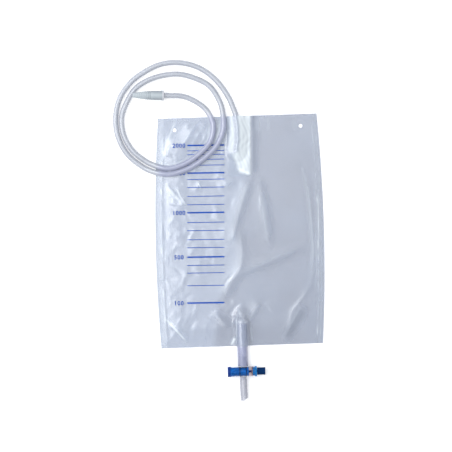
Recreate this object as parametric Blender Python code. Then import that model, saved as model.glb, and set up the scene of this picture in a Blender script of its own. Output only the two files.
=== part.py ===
"""Two-litre urine drainage bag, lying flat on its back film. Metres, +Z up.

The bag's hanging edge points to +Y and its outlet valve to -Y. The origin lies on the floor, under the
middle of the footprint of bag and valve. The inlet tube leaves through the hanging edge, makes one and
three-quarter loops beside and over the bag, and ends in its connector."""

import math

import bmesh
import bpy
from mathutils import Matrix, Vector
from mathutils.bvhtree import BVHTree
from mathutils.geometry import intersect_point_line

FIT_GAP = 0.0003  # between two pieces that touch
MERGE = 1e-6
FILLET = 0.0004  # rounding of a moulded rim
SMALL_FILLET = 0.0003
ARC_SHARE = 0.3  # of a fillet, how far its arc's middle stays short of the sharp corner
CUT_PAST = 0.002  # how far a cutter runs past the wall that it cuts

# The bag as it lies: two films welded all round, turned a little anticlockwise.
BAG_CENTRE = Vector((-0.00030, 0.03549))
BAG_HEIGHT = 0.317
TOP_WIDTH = 0.219
BOTTOM_WIDTH = 0.223
SIDE_BOW = 0.0058  # how far each long edge bows out at mid height
EDGE_TURN = math.radians(1.95)
AXIS_TURN = math.radians(1.25)
FILM = 0.0003
WELD = 0.007
SLACK = 0.0012  # how far the front film stands off the back one where nothing lifts it
SLACK_RUN = 0.022  # over what distance from the weld it rises
HOLE_RADIUS = 0.0025
HOLE_FROM_SIDE = 0.0235
HOLE_FROM_TOP = 0.0165
HOLE_PINCH = 0.004  # the films are welded together this far round a hole

# Sizes of the film's grid cells, fine along the middle where both tubes lie.
COARSE_CELL = 0.0100
FINE_CELL = 0.0023
FINE_REACH = 0.0185
LIFT_MARGIN = 0.003  # how far beyond the sleeve the front film stays lifted
PRESSED_SLOPE = 0.3  # how steeply the front film may rise beside the loops that press on it

# The soft tube to the catheter.
TUBE_RADIUS = 0.0037
TUBE_SPACING = 0.0165

# The non-return sleeve, two strips of film round the inner end of the tube.
SLEEVE_FILM = 0.0002
SLEEVE_WIDTH = 0.030
SLEEVE_LENGTH = 0.081
SLEEVE_OFFSET = 0.0035  # how far its middle lies to the right of the bag's axis
SLEEVE_INSET = 0.0015  # from the hanging edge

# The outlet tube.
OUTLET_RADIUS = 0.0073
OUTLET_WALL = 0.0012
OUTLET_OFFSET = 0.0002  # to the right of the bottom edge's middle
OUTLET_TURN = math.radians(1.8)  # it and the valve lie turned with the bag
OUTLET_INSIDE = 0.031
OUTLET_OUTSIDE = 0.0268
OUTLET_TENT = 0.023  # how far the film's tent runs on past the tube's inner end
TENT_ANGLE = math.radians(50)
TENT_EASE = 0.0003  # looser fit over the inlet tube, which bends between the films' grid lines

# The valve: a cross-piece whose barrel lies along X.
BARREL_LENGTH = 0.032
BARREL_RADIUS = 0.00695
BORE_RADIUS = 0.0055
LUMEN_RADIUS = 0.0024
NECK_RADIUS = 0.0066
NECK_REACH = 0.0077  # from the barrel's axis to the outlet tube's end
SPIGOT_LENGTH = 0.013
SHOULDER_RADIUS = 0.0045
SHOULDER_REACH = 0.0107
NOZZLE_LENGTH = 0.010
RUNNING_GAP = 0.0003  # between the piston and the barrel's bore
COLLAR_RADIUS = 0.00725
COLLAR_THICKNESS = 0.0025
BUSH_SLEEVE_LENGTH = 0.0032
BUSH_WALL = 0.00065
KNOB_GAP = 0.00025
SEAL_LENGTH = 0.0012
HEAD_RADIUS = 0.0071
HEAD_LENGTH = 0.0050
PISTON_REACH = 0.0077  # from the flow path to the piston's right end
WAIST_RADIUS = 0.0016
RING_SECTION = 0.0005
RING_FROM_PATH = 0.0046
GROOVE_DEPTH = 0.0009
HEAD_RIM = 0.0016  # width of the rounded rim round the push head's dished face
HEAD_DISH = 0.0006
KNOB_RADIUS = 0.0051
KNOB_RIM = 0.0008
KNOB_RIM_HEIGHT = 0.0004
KNOB_LEAD = 0.0010  # plain lead at the knob's inner end
KNOB_RIBS = 18
RIB_DEPTH = 0.0003
RIB_RUNOUT = 0.0005
PIN_DEPTH = 0.0080
TRAVEL = 0.0105  # the knob slides into the bush as far as its rim
KNOB_LENGTH = TRAVEL + KNOB_RIM

# The drain tip.
TIP_RADIUS = 0.0051
TIP_WALL = 0.0010
TIP_LENGTH = 0.0288
TIP_BEND = 0.0008  # how far its end has leaned to the right
TIP_CUT = math.radians(38)
TIP_CUT_INSET = 0.0010  # from the tip's axis to where the slant meets its full length

# The catheter connector, measured from the tube's side to its tip.
CONNECTOR_LENGTH = 0.0428
CONNECTOR_COLLAR = 0.0034
CONNECTOR_COLLAR_RADIUS = 0.0069
CONNECTOR_BARREL = 0.0184
CONNECTOR_BARREL_RADIUS = 0.0062
CONNECTOR_STEPS = 10
TAPER_RADIUS = 0.0060  # at the barrel's side
TAPER_FALL = 0.0031  # how much narrower the last step is
TAPER_CURVE = 1.5  # over 1, so that the taper is fuller near the barrel
STEP_LIP = 0.00025
CONNECTOR_LUMEN = 0.0020
SOCKET_DEPTH = 0.010
CONNECTOR_TILT = math.radians(5.4)  # its tip lies on the tube's inner loop

# The printed scale.
SCALE_LEFT = 0.0722  # from the bag's middle to the lines' left ends
SCALE_LENGTH = 0.051
SCALE_TURN = math.radians(0.9)
MAJOR_LINE = 0.0020
MINOR_LINE = 0.0009
INK = 0.0002
MAJOR_STEP = 500
# Millilitres, and how far up the bag that line is printed, as a share of the bag's height.
SCALE_SHARES = {
    100: 0.1915,
    200: 0.2669,
    300: 0.3218,
    400: 0.3549,
    500: 0.3909,
    600: 0.4319,
    700: 0.4666,
    800: 0.5060,
    900: 0.5416,
    1000: 0.5842,
    1100: 0.6189,
    1200: 0.6552,
    1300: 0.6940,
    1400: 0.7287,
    1500: 0.7565,
    1600: 0.7902,
    1700: 0.8155,
    1800: 0.8366,
    1900: 0.8533,
    2000: 0.8767,
}

# Heights at which things lie.
SLEEVE_BACK = FILM + FIT_GAP
SLEEVE_FRONT = SLEEVE_BACK + SLEEVE_FILM + FIT_GAP
TUBE_IN_BAG = SLEEVE_FRONT + TUBE_RADIUS
OUTLET_Z = FILM + FIT_GAP + OUTLET_RADIUS
PRESSED = 0.0022  # top of the front film where the loops press on it
TUBE_ON_BAG = PRESSED + 2 * FIT_GAP + INK + TUBE_RADIUS
TUBE_ON_FLOOR = TUBE_RADIUS + 0.00005

# Route of the tube, from its inner end to the connector's socket.
IN, ON, FL = TUBE_IN_BAG, TUBE_ON_BAG, TUBE_ON_FLOOR
CONNECTOR_Z = CONNECTOR_COLLAR_RADIUS
ROUTE = [
    (-0.0045, 0.1465, IN),
    (-0.0028, 0.1595, IN),
    (-0.0030, 0.1775, IN),
    (-0.0055, 0.1935, IN),
    (-0.0099, 0.2062, 0.0042),
    (-0.0160, 0.2199, FL),
    (-0.0328, 0.2430, FL),
    (-0.0546, 0.2593, FL),
    (-0.0809, 0.2671, FL),
    (-0.1074, 0.2655, FL),
    (-0.1310, 0.2550, FL),
    (-0.1515, 0.2392, FL),
    (-0.1660, 0.2172, FL),
    (-0.1713, 0.1914, FL),
    (-0.1678, 0.1646, FL),
    (-0.1547, 0.1405, FL),
    (-0.1336, 0.1234, FL + 0.0001),
    (-0.1212, 0.1175, 0.0052),
    (-0.1080, 0.1143, ON),
    (-0.0945, 0.1137, ON),
    (-0.0692, 0.1222, ON),
    (-0.0468, 0.1375, ON),
    (-0.0314, 0.1542, ON),
    (-0.0232, 0.1748, ON),
    (-0.0228, 0.1894, 0.0061),
    (-0.0248, 0.2036, 0.0043),
    (-0.0287, 0.2152, FL),
    (-0.0422, 0.2352, FL),
    (-0.0624, 0.2460, FL),
    (-0.0836, 0.2513, FL),
    (-0.1047, 0.2499, FL),
    (-0.1250, 0.2438, FL),
    (-0.1437, 0.2319, FL),
    (-0.1559, 0.2127, FL),
    (-0.1629, 0.1913, FL),
    (-0.1600, 0.1676, FL),
    (-0.1481, 0.1463, FL),
    (-0.1289, 0.1310, FL + 0.0001),
    (-0.1176, 0.1256, 0.0052),
    (-0.1063, 0.1221, ON),
    (-0.0944, 0.1218, ON),
    (-0.0727, 0.1297, ON),
    (-0.0530, 0.1444, ON),
    (-0.0406, 0.1593, ON),
    (-0.0367, 0.1796, ON),
    (-0.0395, 0.1904, 0.0061),
    (-0.0450, 0.2002, 0.0043),
    (-0.0523, 0.2079, 0.0039),
    (-0.0709, 0.2185, 0.0042),
    (-0.0820, 0.2214, 0.0048),
    (-0.0930, 0.2218, 0.0058),
    (-0.1125, 0.2218, 0.0076),
]
CONNECTOR_FACE = Vector((-0.1047, 0.2218, CONNECTOR_Z))
IN_BAG_POINTS = 5  # the first points of the route, over which the films make a tent

# Main folds of the front film: start, end, height (a valley is negative) and half width.
FOLDS = [
    ((0.0243, 0.1058), (0.0381, 0.0092), 0.0018, 0.0075),
    ((0.0370, 0.1058), (0.0490, 0.0119), -0.0010, 0.0060),
    ((0.0960, 0.0160), (0.0132, -0.0322), -0.0010, 0.0060),
    ((0.0900, 0.0300), (0.0200, -0.0120), 0.0009, 0.0090),
    ((0.0326, -0.0626), (0.0150, -0.0880), 0.0016, 0.0045),
    ((0.0878, -0.0722), (0.0615, -0.1120), -0.0010, 0.0060),
    ((0.1000, -0.0350), (0.0790, -0.1010), 0.0014, 0.0070),
    ((-0.0970, -0.0880), (-0.0770, -0.1120), 0.0014, 0.0055),
    ((-0.0723, 0.1610), (-0.0475, 0.1800), 0.0013, 0.0055),
    ((-0.1000, 0.1420), (-0.0834, 0.1650), 0.0013, 0.0055),
    ((0.0960, 0.1470), (0.1020, -0.0046), 0.0013, 0.0060),
    ((-0.0970, 0.0780), (-0.0990, -0.0700), 0.0011, 0.0060),
    ((0.0100, 0.0980), (-0.0060, 0.0230), 0.0016, 0.0100),
    ((-0.0060, 0.0230), (-0.0100, -0.0600), 0.0010, 0.0090),
]
FOLD_FADE = 0.25  # share of a fold's length over which each end dies away


def clear_scene():
    for old in list(bpy.data.objects):
        bpy.data.objects.remove(old, do_unlink=True)


def plastic(name, colour, roughness, alpha=1.0):
    """A plain plastic; alpha under 1 is for the clear pieces."""
    made = bpy.data.materials.new(name)
    made.use_nodes = True
    shader = made.node_tree.nodes["Principled BSDF"]
    shader.inputs["Base Color"].default_value = (*colour, 1)
    shader.inputs["Roughness"].default_value = roughness
    shader.inputs["Metallic"].default_value = 0
    shader.inputs["Alpha"].default_value = alpha
    made.diffuse_color = (*colour, alpha)
    return made


def add_object(name, data, material, parent=None, at=(0, 0, 0), turn=0.0):
    """Links an object; turn is its rotation about Z."""
    made = bpy.data.objects.new(name, data)
    data.materials.append(material)
    bpy.context.scene.collection.objects.link(made)
    made.parent = parent
    made.location = at
    made.rotation_euler = (0, 0, turn)
    return made


def to_mesh(bm, name):
    bmesh.ops.recalc_face_normals(bm, faces=bm.faces)
    mesh = bpy.data.meshes.new(name)
    bm.to_mesh(mesh)
    bm.free()
    return mesh


def smooth_by_angle(mesh, angle=math.radians(35)):
    mesh.shade_smooth()
    mesh.set_sharp_from_angle(angle=angle)


def turned(name, profile, sides):
    """A mesh turned about X from a closed outline of (along, radius) points. Runs on the axis are skipped."""
    bm = bmesh.new()
    points = [bm.verts.new((along, 0, radius)) for along, radius in profile]
    pairs = zip(points, points[1:] + points[:1])
    edges = [bm.edges.new(pair) for pair in pairs if max(pair[0].co.z, pair[1].co.z) > 0]
    bmesh.ops.spin(
        bm,
        geom=points + edges,
        cent=(0, 0, 0),
        axis=(1, 0, 0),
        dvec=(0, 0, 0),
        angle=2 * math.pi,
        steps=sides,
        use_merge=True,
    )
    bmesh.ops.remove_doubles(bm, verts=bm.verts, dist=MERGE)
    mesh = to_mesh(bm, name)
    smooth_by_angle(mesh)
    return mesh


def rounded_end(along, radius, fillet, inward):
    """Three outline points that round the rim where a turned piece ends; inward is +1 or -1 along X."""
    return [
        (along, radius - fillet),
        (along + inward * fillet * ARC_SHARE, radius - fillet * ARC_SHARE),
        (along + inward * fillet, radius),
    ]


def boolean(target, tool, operation):
    """Joins or cuts target with a helper object, which the render leaves out."""
    tool.hide_render = True
    tool.display_type = "WIRE"
    step = target.modifiers.new(operation.title(), "BOOLEAN")
    step.operation = operation
    step.object = tool


def rod_tool(name, radius, start, end, along, parent, sides=32):
    """A helper rod from start to end along the x or the y axis of its parent."""
    mesh = turned(name, [(start, 0), (start, radius), (end, radius), (end, 0)], sides)
    material = plastic(name, (0.5, 0.5, 0.5), 0.5)
    return add_object(name, mesh, material, parent, turn=math.pi / 2 if along == "y" else 0)


def bag_point(across, along):
    """Where a point of the bag lies: across 0 to 1 from left to right, along 0 to 1 from bottom to top."""
    axis = Vector((-math.sin(AXIS_TURN), math.cos(AXIS_TURN)))
    edge = Vector((math.cos(EDGE_TURN), math.sin(EDGE_TURN)))
    bowed = 8 * SIDE_BOW * along * (1 - along)
    width = BOTTOM_WIDTH + (TOP_WIDTH - BOTTOM_WIDTH) * along + bowed
    return BAG_CENTRE + (along - 0.5) * BAG_HEIGHT * axis + (across - 0.5) * width * edge


def from_corner(inset, drop, side):
    """A point that lies inset from a side edge (side -1 is the left) and drop below the hanging edge."""
    across = 0.5 + side * (0.5 - inset / TOP_WIDTH)
    return bag_point(across, 1 - drop / BAG_HEIGHT)


def hole_centres():
    return [from_corner(HOLE_FROM_SIDE, HOLE_FROM_TOP, side) for side in (-1, 1)]


def smoothstep(value):
    value = min(1.0, max(0.0, value))
    return value * value * (3 - 2 * value)


def distance_to_run(point, start, end):
    """Distance to a straight run on the floor, and the share of the run at which it is nearest."""
    near, share = intersect_point_line(point, start, end)
    share = min(1.0, max(0.0, share))
    near = start + (end - start) * share
    return (point - near).length, share


def tent(point, start, end, crests, radius):
    """Height of a film drawn over a round run. crests are the heights over its start and its end."""
    away, share = distance_to_run(point, start, end)
    crest = crests[0] + (crests[1] - crests[0]) * share
    if away < radius * math.sin(TENT_ANGLE):
        return crest - radius + math.sqrt(radius * radius - away * away)
    return crest - radius + radius / math.cos(TENT_ANGLE) - away * math.tan(TENT_ANGLE)


def flat(point):
    return Vector((point[0], point[1]))


def inlet_tent(point, radius, past):
    """Tent over the inner end of the inlet tube and a little past it. radius is the tube's, with what
    lies over it."""
    points = [flat(a) for a in ROUTE[:IN_BAG_POINTS]]
    points[0] += (points[0] - points[1]).normalized() * past
    crest = TUBE_IN_BAG + radius
    return max(tent(point, a, b, (crest, crest), radius) for a, b in zip(points, points[1:]))


def outlet_axis():
    return Vector((-math.sin(OUTLET_TURN), math.cos(OUTLET_TURN)))


def outlet_points():
    """On the floor: the outlet tube's outer end, its inner end, and where the film's tent dies away."""
    edge = bag_point(0.5, 0) + Vector((OUTLET_OFFSET, 0))
    inner = edge + outlet_axis() * OUTLET_INSIDE
    return edge - outlet_axis() * OUTLET_OUTSIDE, inner, inner + outlet_axis() * OUTLET_TENT


def outlet_tent(point):
    outer, inner, last = outlet_points()
    inner = inner + outlet_axis() * COARSE_CELL
    radius = OUTLET_RADIUS + FIT_GAP
    crest = OUTLET_Z + radius
    over_tube = tent(point, outer, inner, (crest, crest), radius)
    beyond = tent(point, inner, last, (crest, FILM + FIT_GAP), radius)
    return max(over_tube, beyond)


def sleeve_point(across, along):
    """Where a point of the non-return sleeve lies: along runs 0 to 1 from its free end to the bag's edge."""
    top = bag_point(0.5, 1) + Vector((SLEEVE_OFFSET, -SLEEVE_INSET))
    return top + Vector(((across - 0.5) * SLEEVE_WIDTH, (along - 1) * SLEEVE_LENGTH))


def sleeve_lift(point):
    """How much the sleeve's two films lift the front film: all of it over them, less round about."""
    low, high = sleeve_point(0, 0), sleeve_point(1, 1)
    beside = max(low.x - point.x, point.x - high.x, 0)
    beyond = max(low.y - point.y, point.y - high.y, 0)
    whole = 2 * (SLEEVE_FILM + FIT_GAP)
    return whole * (1 - smoothstep((math.hypot(beside, beyond) - LIFT_MARGIN) / COARSE_CELL))


def fold_height(point):
    total = 0.0
    for start, end, height, half_width in FOLDS:
        away, share = distance_to_run(point, Vector(start), Vector(end))
        ends = smoothstep(share / FOLD_FADE) * smoothstep((1 - share) / FOLD_FADE)
        total += height * ends * math.exp(-((away / half_width) ** 2))
    return total


def pressed_limit(point):
    """How high the front film's underside may stand beside the loops that lie on it."""
    runs = [(a, b) for a, b in zip(ROUTE, ROUTE[1:]) if max(a[2], b[2]) >= TUBE_ON_BAG]
    nearest = min(distance_to_run(point, flat(a), flat(b))[0] for a, b in runs)
    return PRESSED - FILM + max(0.0, nearest - COARSE_CELL) * PRESSED_SLOPE


def weld_distance(across, along):
    sides = min(across, 1 - across) * TOP_WIDTH
    ends = min(along, 1 - along) * BAG_HEIGHT
    return min(sides, ends) - WELD


def front_underside(across, along):
    """Height of the front film's underside."""
    point = bag_point(across, along)
    base = FILM + FIT_GAP
    inside = smoothstep(weld_distance(across, along) / SLACK_RUN)
    height = base + inside * (SLACK + fold_height(point))
    for centre in hole_centres():
        pinch = smoothstep(((point - centre).length - HOLE_PINCH) / SLACK_RUN)
        height = base + (height - base) * pinch
    height = max(base, min(height, pressed_limit(point)) + sleeve_lift(point))
    over_sleeve = TUBE_RADIUS + SLEEVE_FILM + 2 * (FIT_GAP + TENT_EASE)
    return max(height, inlet_tent(point, over_sleeve, 2 * COARSE_CELL), outlet_tent(point))


def cell_shares(length, fine_reach=0.0):
    """Shares of a length, 0 to 1: the weld's edges, then coarse cells, with fine cells about the middle."""
    marks = [0.0, WELD / 2, WELD]
    inner = length / 2 - fine_reach
    count = round((inner - WELD) / COARSE_CELL)
    marks += [WELD + (inner - WELD) * (i + 1) / count for i in range(count)]
    fine = round(fine_reach / FINE_CELL)
    marks += [inner + fine_reach * (i + 1) / fine for i in range(fine)] if fine else []
    half = [mark / length for mark in marks]
    return half + [1 - share for share in reversed(half[:-1])]


def draped_grid(name, columns, rows, place, height):
    """A grid surface. place gives each cell corner's spot on the floor, and height its height."""
    bm = bmesh.new()
    bmesh.ops.create_grid(bm, x_segments=len(columns) - 1, y_segments=len(rows) - 1, size=0.5)
    for vertex in bm.verts:
        across = columns[round((vertex.co.x + 0.5) * (len(columns) - 1))]
        along = rows[round((vertex.co.y + 0.5) * (len(rows) - 1))]
        vertex.co = (*place(across, along), height(across, along))
    mesh = to_mesh(bm, name)
    mesh.shade_smooth()
    return mesh


def add_thickness(piece, thickness):
    """Gives a draped grid its wall, built upwards."""
    wall = piece.modifiers.new("Wall", "SOLIDIFY")
    wall.thickness = thickness
    wall.offset = 1


def even_shares(count):
    return [i / count for i in range(count + 1)]


def cut_hanging_holes(film, label):
    for side, centre in zip(("left", "right"), hole_centres()):
        name = f"{label}_hole_{side}"
        tool = rod_tool(name, HOLE_RADIUS, -OUTLET_Z, OUTLET_Z, "x", film.parent, sides=16)
        tool.rotation_euler = (0, math.pi / 2, 0)
        tool.location = (*centre, 0)
        boolean(film, tool, "DIFFERENCE")


def make_back_film(bag, material):
    rows = cell_shares(BAG_HEIGHT)[::4] + [1.0]
    mesh = draped_grid("back_film", [0.0, 1.0], rows, bag_point, lambda across, along: 0.0)
    film = add_object("back_film", mesh, material, bag)
    add_thickness(film, FILM)
    cut_hanging_holes(film, "back")
    return film


def make_front_film(bag, material):
    columns = cell_shares(TOP_WIDTH, FINE_REACH)
    rows = cell_shares(BAG_HEIGHT)
    mesh = draped_grid("front_film", columns, rows, bag_point, front_underside)
    film = add_object("front_film", mesh, material, bag)
    add_thickness(film, FILM)
    cut_hanging_holes(film, "front")
    return film


def make_sleeve(bag, material):
    """The non-return sleeve: a flat strip behind the tube's end, and one drawn over it."""
    columns = even_shares(round(SLEEVE_WIDTH / FINE_CELL))
    rows = even_shares(round(SLEEVE_LENGTH / COARSE_CELL))

    def underside(across, along):
        point = sleeve_point(across, along)
        return max(SLEEVE_FRONT, inlet_tent(point, TUBE_RADIUS + FIT_GAP + TENT_EASE, COARSE_CELL))

    back = draped_grid("sleeve_back", [0.0, 1.0], [0.0, 1.0], sleeve_point, lambda a, b: SLEEVE_BACK)
    front = draped_grid("sleeve_front", columns, rows, sleeve_point, underside)
    for name, mesh in (("sleeve_back", back), ("sleeve_front", front)):
        add_thickness(add_object(name, mesh, material, bag), SLEEVE_FILM)


def smooth_route(points, spacing):
    """Even points on a smooth curve through the route's own points (centripetal Catmull-Rom)."""
    points = [Vector(point) for point in points]
    ends = [2 * points[0] - points[1]] + points + [2 * points[-1] - points[-2]]
    fine = []
    for p0, p1, p2, p3 in zip(ends, ends[1:], ends[2:], ends[3:]):
        t1 = (p1 - p0).length ** 0.5
        t2 = t1 + (p2 - p1).length ** 0.5
        t3 = t2 + (p3 - p2).length ** 0.5
        for step in range(20):
            t = t1 + (t2 - t1) * step / 20
            a1 = p0.lerp(p1, t / t1)
            a2 = p1.lerp(p2, (t - t1) / (t2 - t1))
            a3 = p2.lerp(p3, (t - t2) / (t3 - t2))
            b1 = a1.lerp(a2, t / t2)
            b2 = a2.lerp(a3, (t - t1) / (t3 - t1))
            fine.append(b1.lerp(b2, (t - t1) / (t2 - t1)))
    fine.append(points[-1])
    runs = [(b - a).length for a, b in zip(fine, fine[1:])]
    count = round(sum(runs) / spacing)
    even, index, passed = [fine[0]], 0, 0.0
    for i in range(1, count):
        target = sum(runs) * i / count
        while passed + runs[index] < target:
            passed += runs[index]
            index += 1
        even.append(fine[index].lerp(fine[index + 1], (target - passed) / runs[index]))
    return even + [fine[-1]], sum(runs)


def make_inlet_tube(bag, material):
    points, length = smooth_route(ROUTE, TUBE_SPACING)
    curve = bpy.data.curves.new("inlet_tube", "CURVE")
    curve.dimensions = "3D"
    curve.bevel_depth = TUBE_RADIUS
    curve.bevel_resolution = 3
    curve.use_fill_caps = True
    spline = curve.splines.new("POLY")
    spline.points.add(len(points) - 1)
    for target, point in zip(spline.points, points):
        target.co = (*point, 1)
    add_object("inlet_tube", curve, material, bag)
    print(f"inlet tube: {length:.3f} m long, {len(points)} points")


def make_connector(bag, material):
    """Stepped taper that points away from the tube, with a collar and a socket at the tube's side."""
    step = (CONNECTOR_LENGTH - CONNECTOR_BARREL) / CONNECTOR_STEPS
    outline = rounded_end(0, CONNECTOR_COLLAR_RADIUS, FILLET, 1)
    outline += reversed(rounded_end(CONNECTOR_COLLAR, CONNECTOR_COLLAR_RADIUS, FILLET, -1))
    outline += [(CONNECTOR_COLLAR, CONNECTOR_BARREL_RADIUS), (CONNECTOR_BARREL, CONNECTOR_BARREL_RADIUS)]
    falls = [TAPER_FALL * (i / CONNECTOR_STEPS) ** TAPER_CURVE for i in range(CONNECTOR_STEPS + 1)]
    for i, (fall, next_fall) in enumerate(zip(falls, falls[1:])):
        start = CONNECTOR_BARREL + i * step
        outline += [(start, TAPER_RADIUS - fall), (start + step, TAPER_RADIUS - next_fall + STEP_LIP)]
    outline += [(CONNECTOR_LENGTH, CONNECTOR_LUMEN), (SOCKET_DEPTH, CONNECTOR_LUMEN)]
    socket = TUBE_RADIUS + FIT_GAP
    outline += [(SOCKET_DEPTH, socket), (0, socket)]
    mesh = turned("tube_connector", outline, 24)
    connector = add_object("tube_connector", mesh, material, bag, at=CONNECTOR_FACE)
    connector.rotation_euler = (0, -CONNECTOR_TILT, math.pi)


def pipe_outline(start, end, outer, inner):
    return [(start, inner), (start, outer), (end, outer), (end, inner)]


def make_outlet_tube(bag, material):
    outer, inner, _ = outlet_points()
    length = (inner - outer).length
    outline = pipe_outline(0, length, OUTLET_RADIUS, OUTLET_RADIUS - OUTLET_WALL)
    mesh = turned("outlet_tube", outline, 32)
    turn = math.pi / 2 + OUTLET_TURN
    add_object("outlet_tube", mesh, material, bag, at=(*outer, OUTLET_Z), turn=turn)


def make_housing(valve, material):
    """Cross-piece: barrel along x, spigot up into the outlet tube, nozzle down into the drain tip."""
    end = BARREL_LENGTH / 2
    body = turned("valve_housing", [(-end, 0), (-end, BARREL_RADIUS), (end, BARREL_RADIUS), (end, 0)], 32)
    housing = add_object("valve_housing", body, material, valve)
    spigot = OUTLET_RADIUS - OUTLET_WALL - FIT_GAP
    nozzle = TIP_RADIUS - TIP_WALL - FIT_GAP
    branches = {
        "neck": (NECK_RADIUS, 0, NECK_REACH),
        "spigot": (spigot, NECK_REACH / 2, NECK_REACH + SPIGOT_LENGTH),
        "shoulder": (SHOULDER_RADIUS, -SHOULDER_REACH, 0),
        "nozzle": (nozzle, -SHOULDER_REACH - NOZZLE_LENGTH, -SHOULDER_REACH / 2),
    }
    for name, (radius, low, high) in branches.items():
        boolean(housing, rod_tool(name, radius, low, high, "y", valve), "UNION")
    cut_end = end + CUT_PAST
    reach = NECK_REACH + SPIGOT_LENGTH + CUT_PAST
    seat = end - BUSH_SLEEVE_LENGTH - SEAL_LENGTH - 2 * FIT_GAP
    boolean(housing, rod_tool("bore", BORE_RADIUS, -cut_end, cut_end, "x", valve), "DIFFERENCE")
    boolean(housing, rod_tool("seat", bush_outer() + KNOB_GAP, seat, cut_end, "x", valve), "DIFFERENCE")
    boolean(housing, rod_tool("lumen", LUMEN_RADIUS, -reach, reach, "y", valve, 24), "DIFFERENCE")


def bush_inner():
    return KNOB_RADIUS + KNOB_GAP


def bush_outer():
    return bush_inner() + BUSH_WALL


def make_bush(valve, material):
    """Collar on the barrel's right end, with a thin sleeve inside it that guides the knob."""
    face = BARREL_LENGTH / 2 + FIT_GAP
    outline = [(face - BUSH_SLEEVE_LENGTH, bush_inner()), (face - BUSH_SLEEVE_LENGTH, bush_outer())]
    outline += [(face, bush_outer())]
    outline += rounded_end(face, COLLAR_RADIUS, SMALL_FILLET, 1)
    outline += reversed(rounded_end(face + COLLAR_THICKNESS, COLLAR_RADIUS, FILLET, -1))
    outline += [(face + COLLAR_THICKNESS, bush_inner())]
    add_object("valve_bush", turned("valve_bush", outline, 32), material, valve)


def make_rod_seal(valve, material):
    """Square ring between the bush's sleeve and the bottom of its seat."""
    end = BARREL_LENGTH / 2 - BUSH_SLEEVE_LENGTH
    outer = bush_outer() + KNOB_GAP / 2
    outline = pipe_outline(end - SEAL_LENGTH, end, outer, bush_inner() - KNOB_GAP / 2)
    add_object("rod_seal", turned("rod_seal", outline, 24), material, valve)


def knob_start():
    return BARREL_LENGTH / 2 + FIT_GAP + COLLAR_THICKNESS + FIT_GAP


def make_plunger(valve, material):
    """Push head, piston with two ring grooves, thin waist and the pin that holds the knob."""
    stop = -BARREL_LENGTH / 2 - FIT_GAP
    head = stop - HEAD_LENGTH
    piston = BORE_RADIUS - RUNNING_GAP
    half = RING_SECTION + FIT_GAP / 2
    dish = head + HEAD_DISH
    outline = [(dish, 0), (dish, HEAD_RADIUS - HEAD_RIM - HEAD_DISH), (head, HEAD_RADIUS - HEAD_RIM)]
    outline += rounded_end(head, HEAD_RADIUS, HEAD_DISH, 1)
    outline += reversed(rounded_end(stop, HEAD_RADIUS, FILLET, -1))
    outline += [(stop, piston)]
    for groove in (-RING_FROM_PATH, RING_FROM_PATH):
        outline += [(groove - half, piston), (groove - half, piston - GROOVE_DEPTH)]
        outline += [(groove + half, piston - GROOVE_DEPTH), (groove + half, piston)]
    outline += [(PISTON_REACH - FILLET, piston), (PISTON_REACH, piston - FILLET)]
    outline += [(PISTON_REACH, WAIST_RADIUS)]
    pin_end = knob_start() + PIN_DEPTH
    outline += [(pin_end, WAIST_RADIUS), (pin_end, 0)]
    add_object("valve_plunger", turned("valve_plunger", outline, 32), material, valve)


def make_piston_seals(valve, material):
    floor = BORE_RADIUS - RUNNING_GAP - GROOVE_DEPTH
    middle = (floor + BORE_RADIUS) / 2
    for name, at in (("piston_seal_left", -RING_FROM_PATH), ("piston_seal_right", RING_FROM_PATH)):
        corners = [2 * math.pi * i / 8 for i in range(8)]
        outline = [(RING_SECTION * math.cos(c), middle + RING_SECTION * math.sin(c)) for c in corners]
        add_object(name, turned(name, outline, 24), material, valve, at=(at, 0, 0))


def make_knob(valve, material):
    """Ribbed knob with a rim at its outer end and a blind hole for the plunger's pin."""
    start = knob_start()
    end = start + KNOB_LENGTH
    hole = WAIST_RADIUS + FIT_GAP
    floor = start + PIN_DEPTH + FIT_GAP
    grip_start = start + KNOB_LEAD
    grip_end = end - KNOB_RIM
    rim = KNOB_RADIUS + KNOB_RIM_HEIGHT
    outline = [(start, hole)] + rounded_end(start, KNOB_RADIUS, FILLET, 1)
    outline += [(grip_start, KNOB_RADIUS), (grip_start + RIB_RUNOUT, KNOB_RADIUS)]
    outline += [(grip_end - RIB_RUNOUT, KNOB_RADIUS), (grip_end, KNOB_RADIUS)]
    outline += [(grip_end, rim)] + rounded_end(end, rim, SMALL_FILLET, -1)[::-1]
    outline += [(end, 0), (floor, 0), (floor, hole)]
    mesh = turned("plunger_knob", outline, 2 * KNOB_RIBS)
    for vertex in mesh.vertices:
        along, radius = vertex.co.x, math.hypot(vertex.co.y, vertex.co.z)
        place = round(math.atan2(vertex.co.z, vertex.co.y) / (math.pi / KNOB_RIBS))
        on_grip = grip_start + MERGE < along < grip_end - MERGE and radius > KNOB_RADIUS - RIB_DEPTH
        if on_grip and place % 2:
            vertex.co = (along, *(vertex.co.yz * (1 - RIB_DEPTH / radius)))
    mesh.update()
    smooth_by_angle(mesh)
    add_object("plunger_knob", mesh, material, valve)


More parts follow.
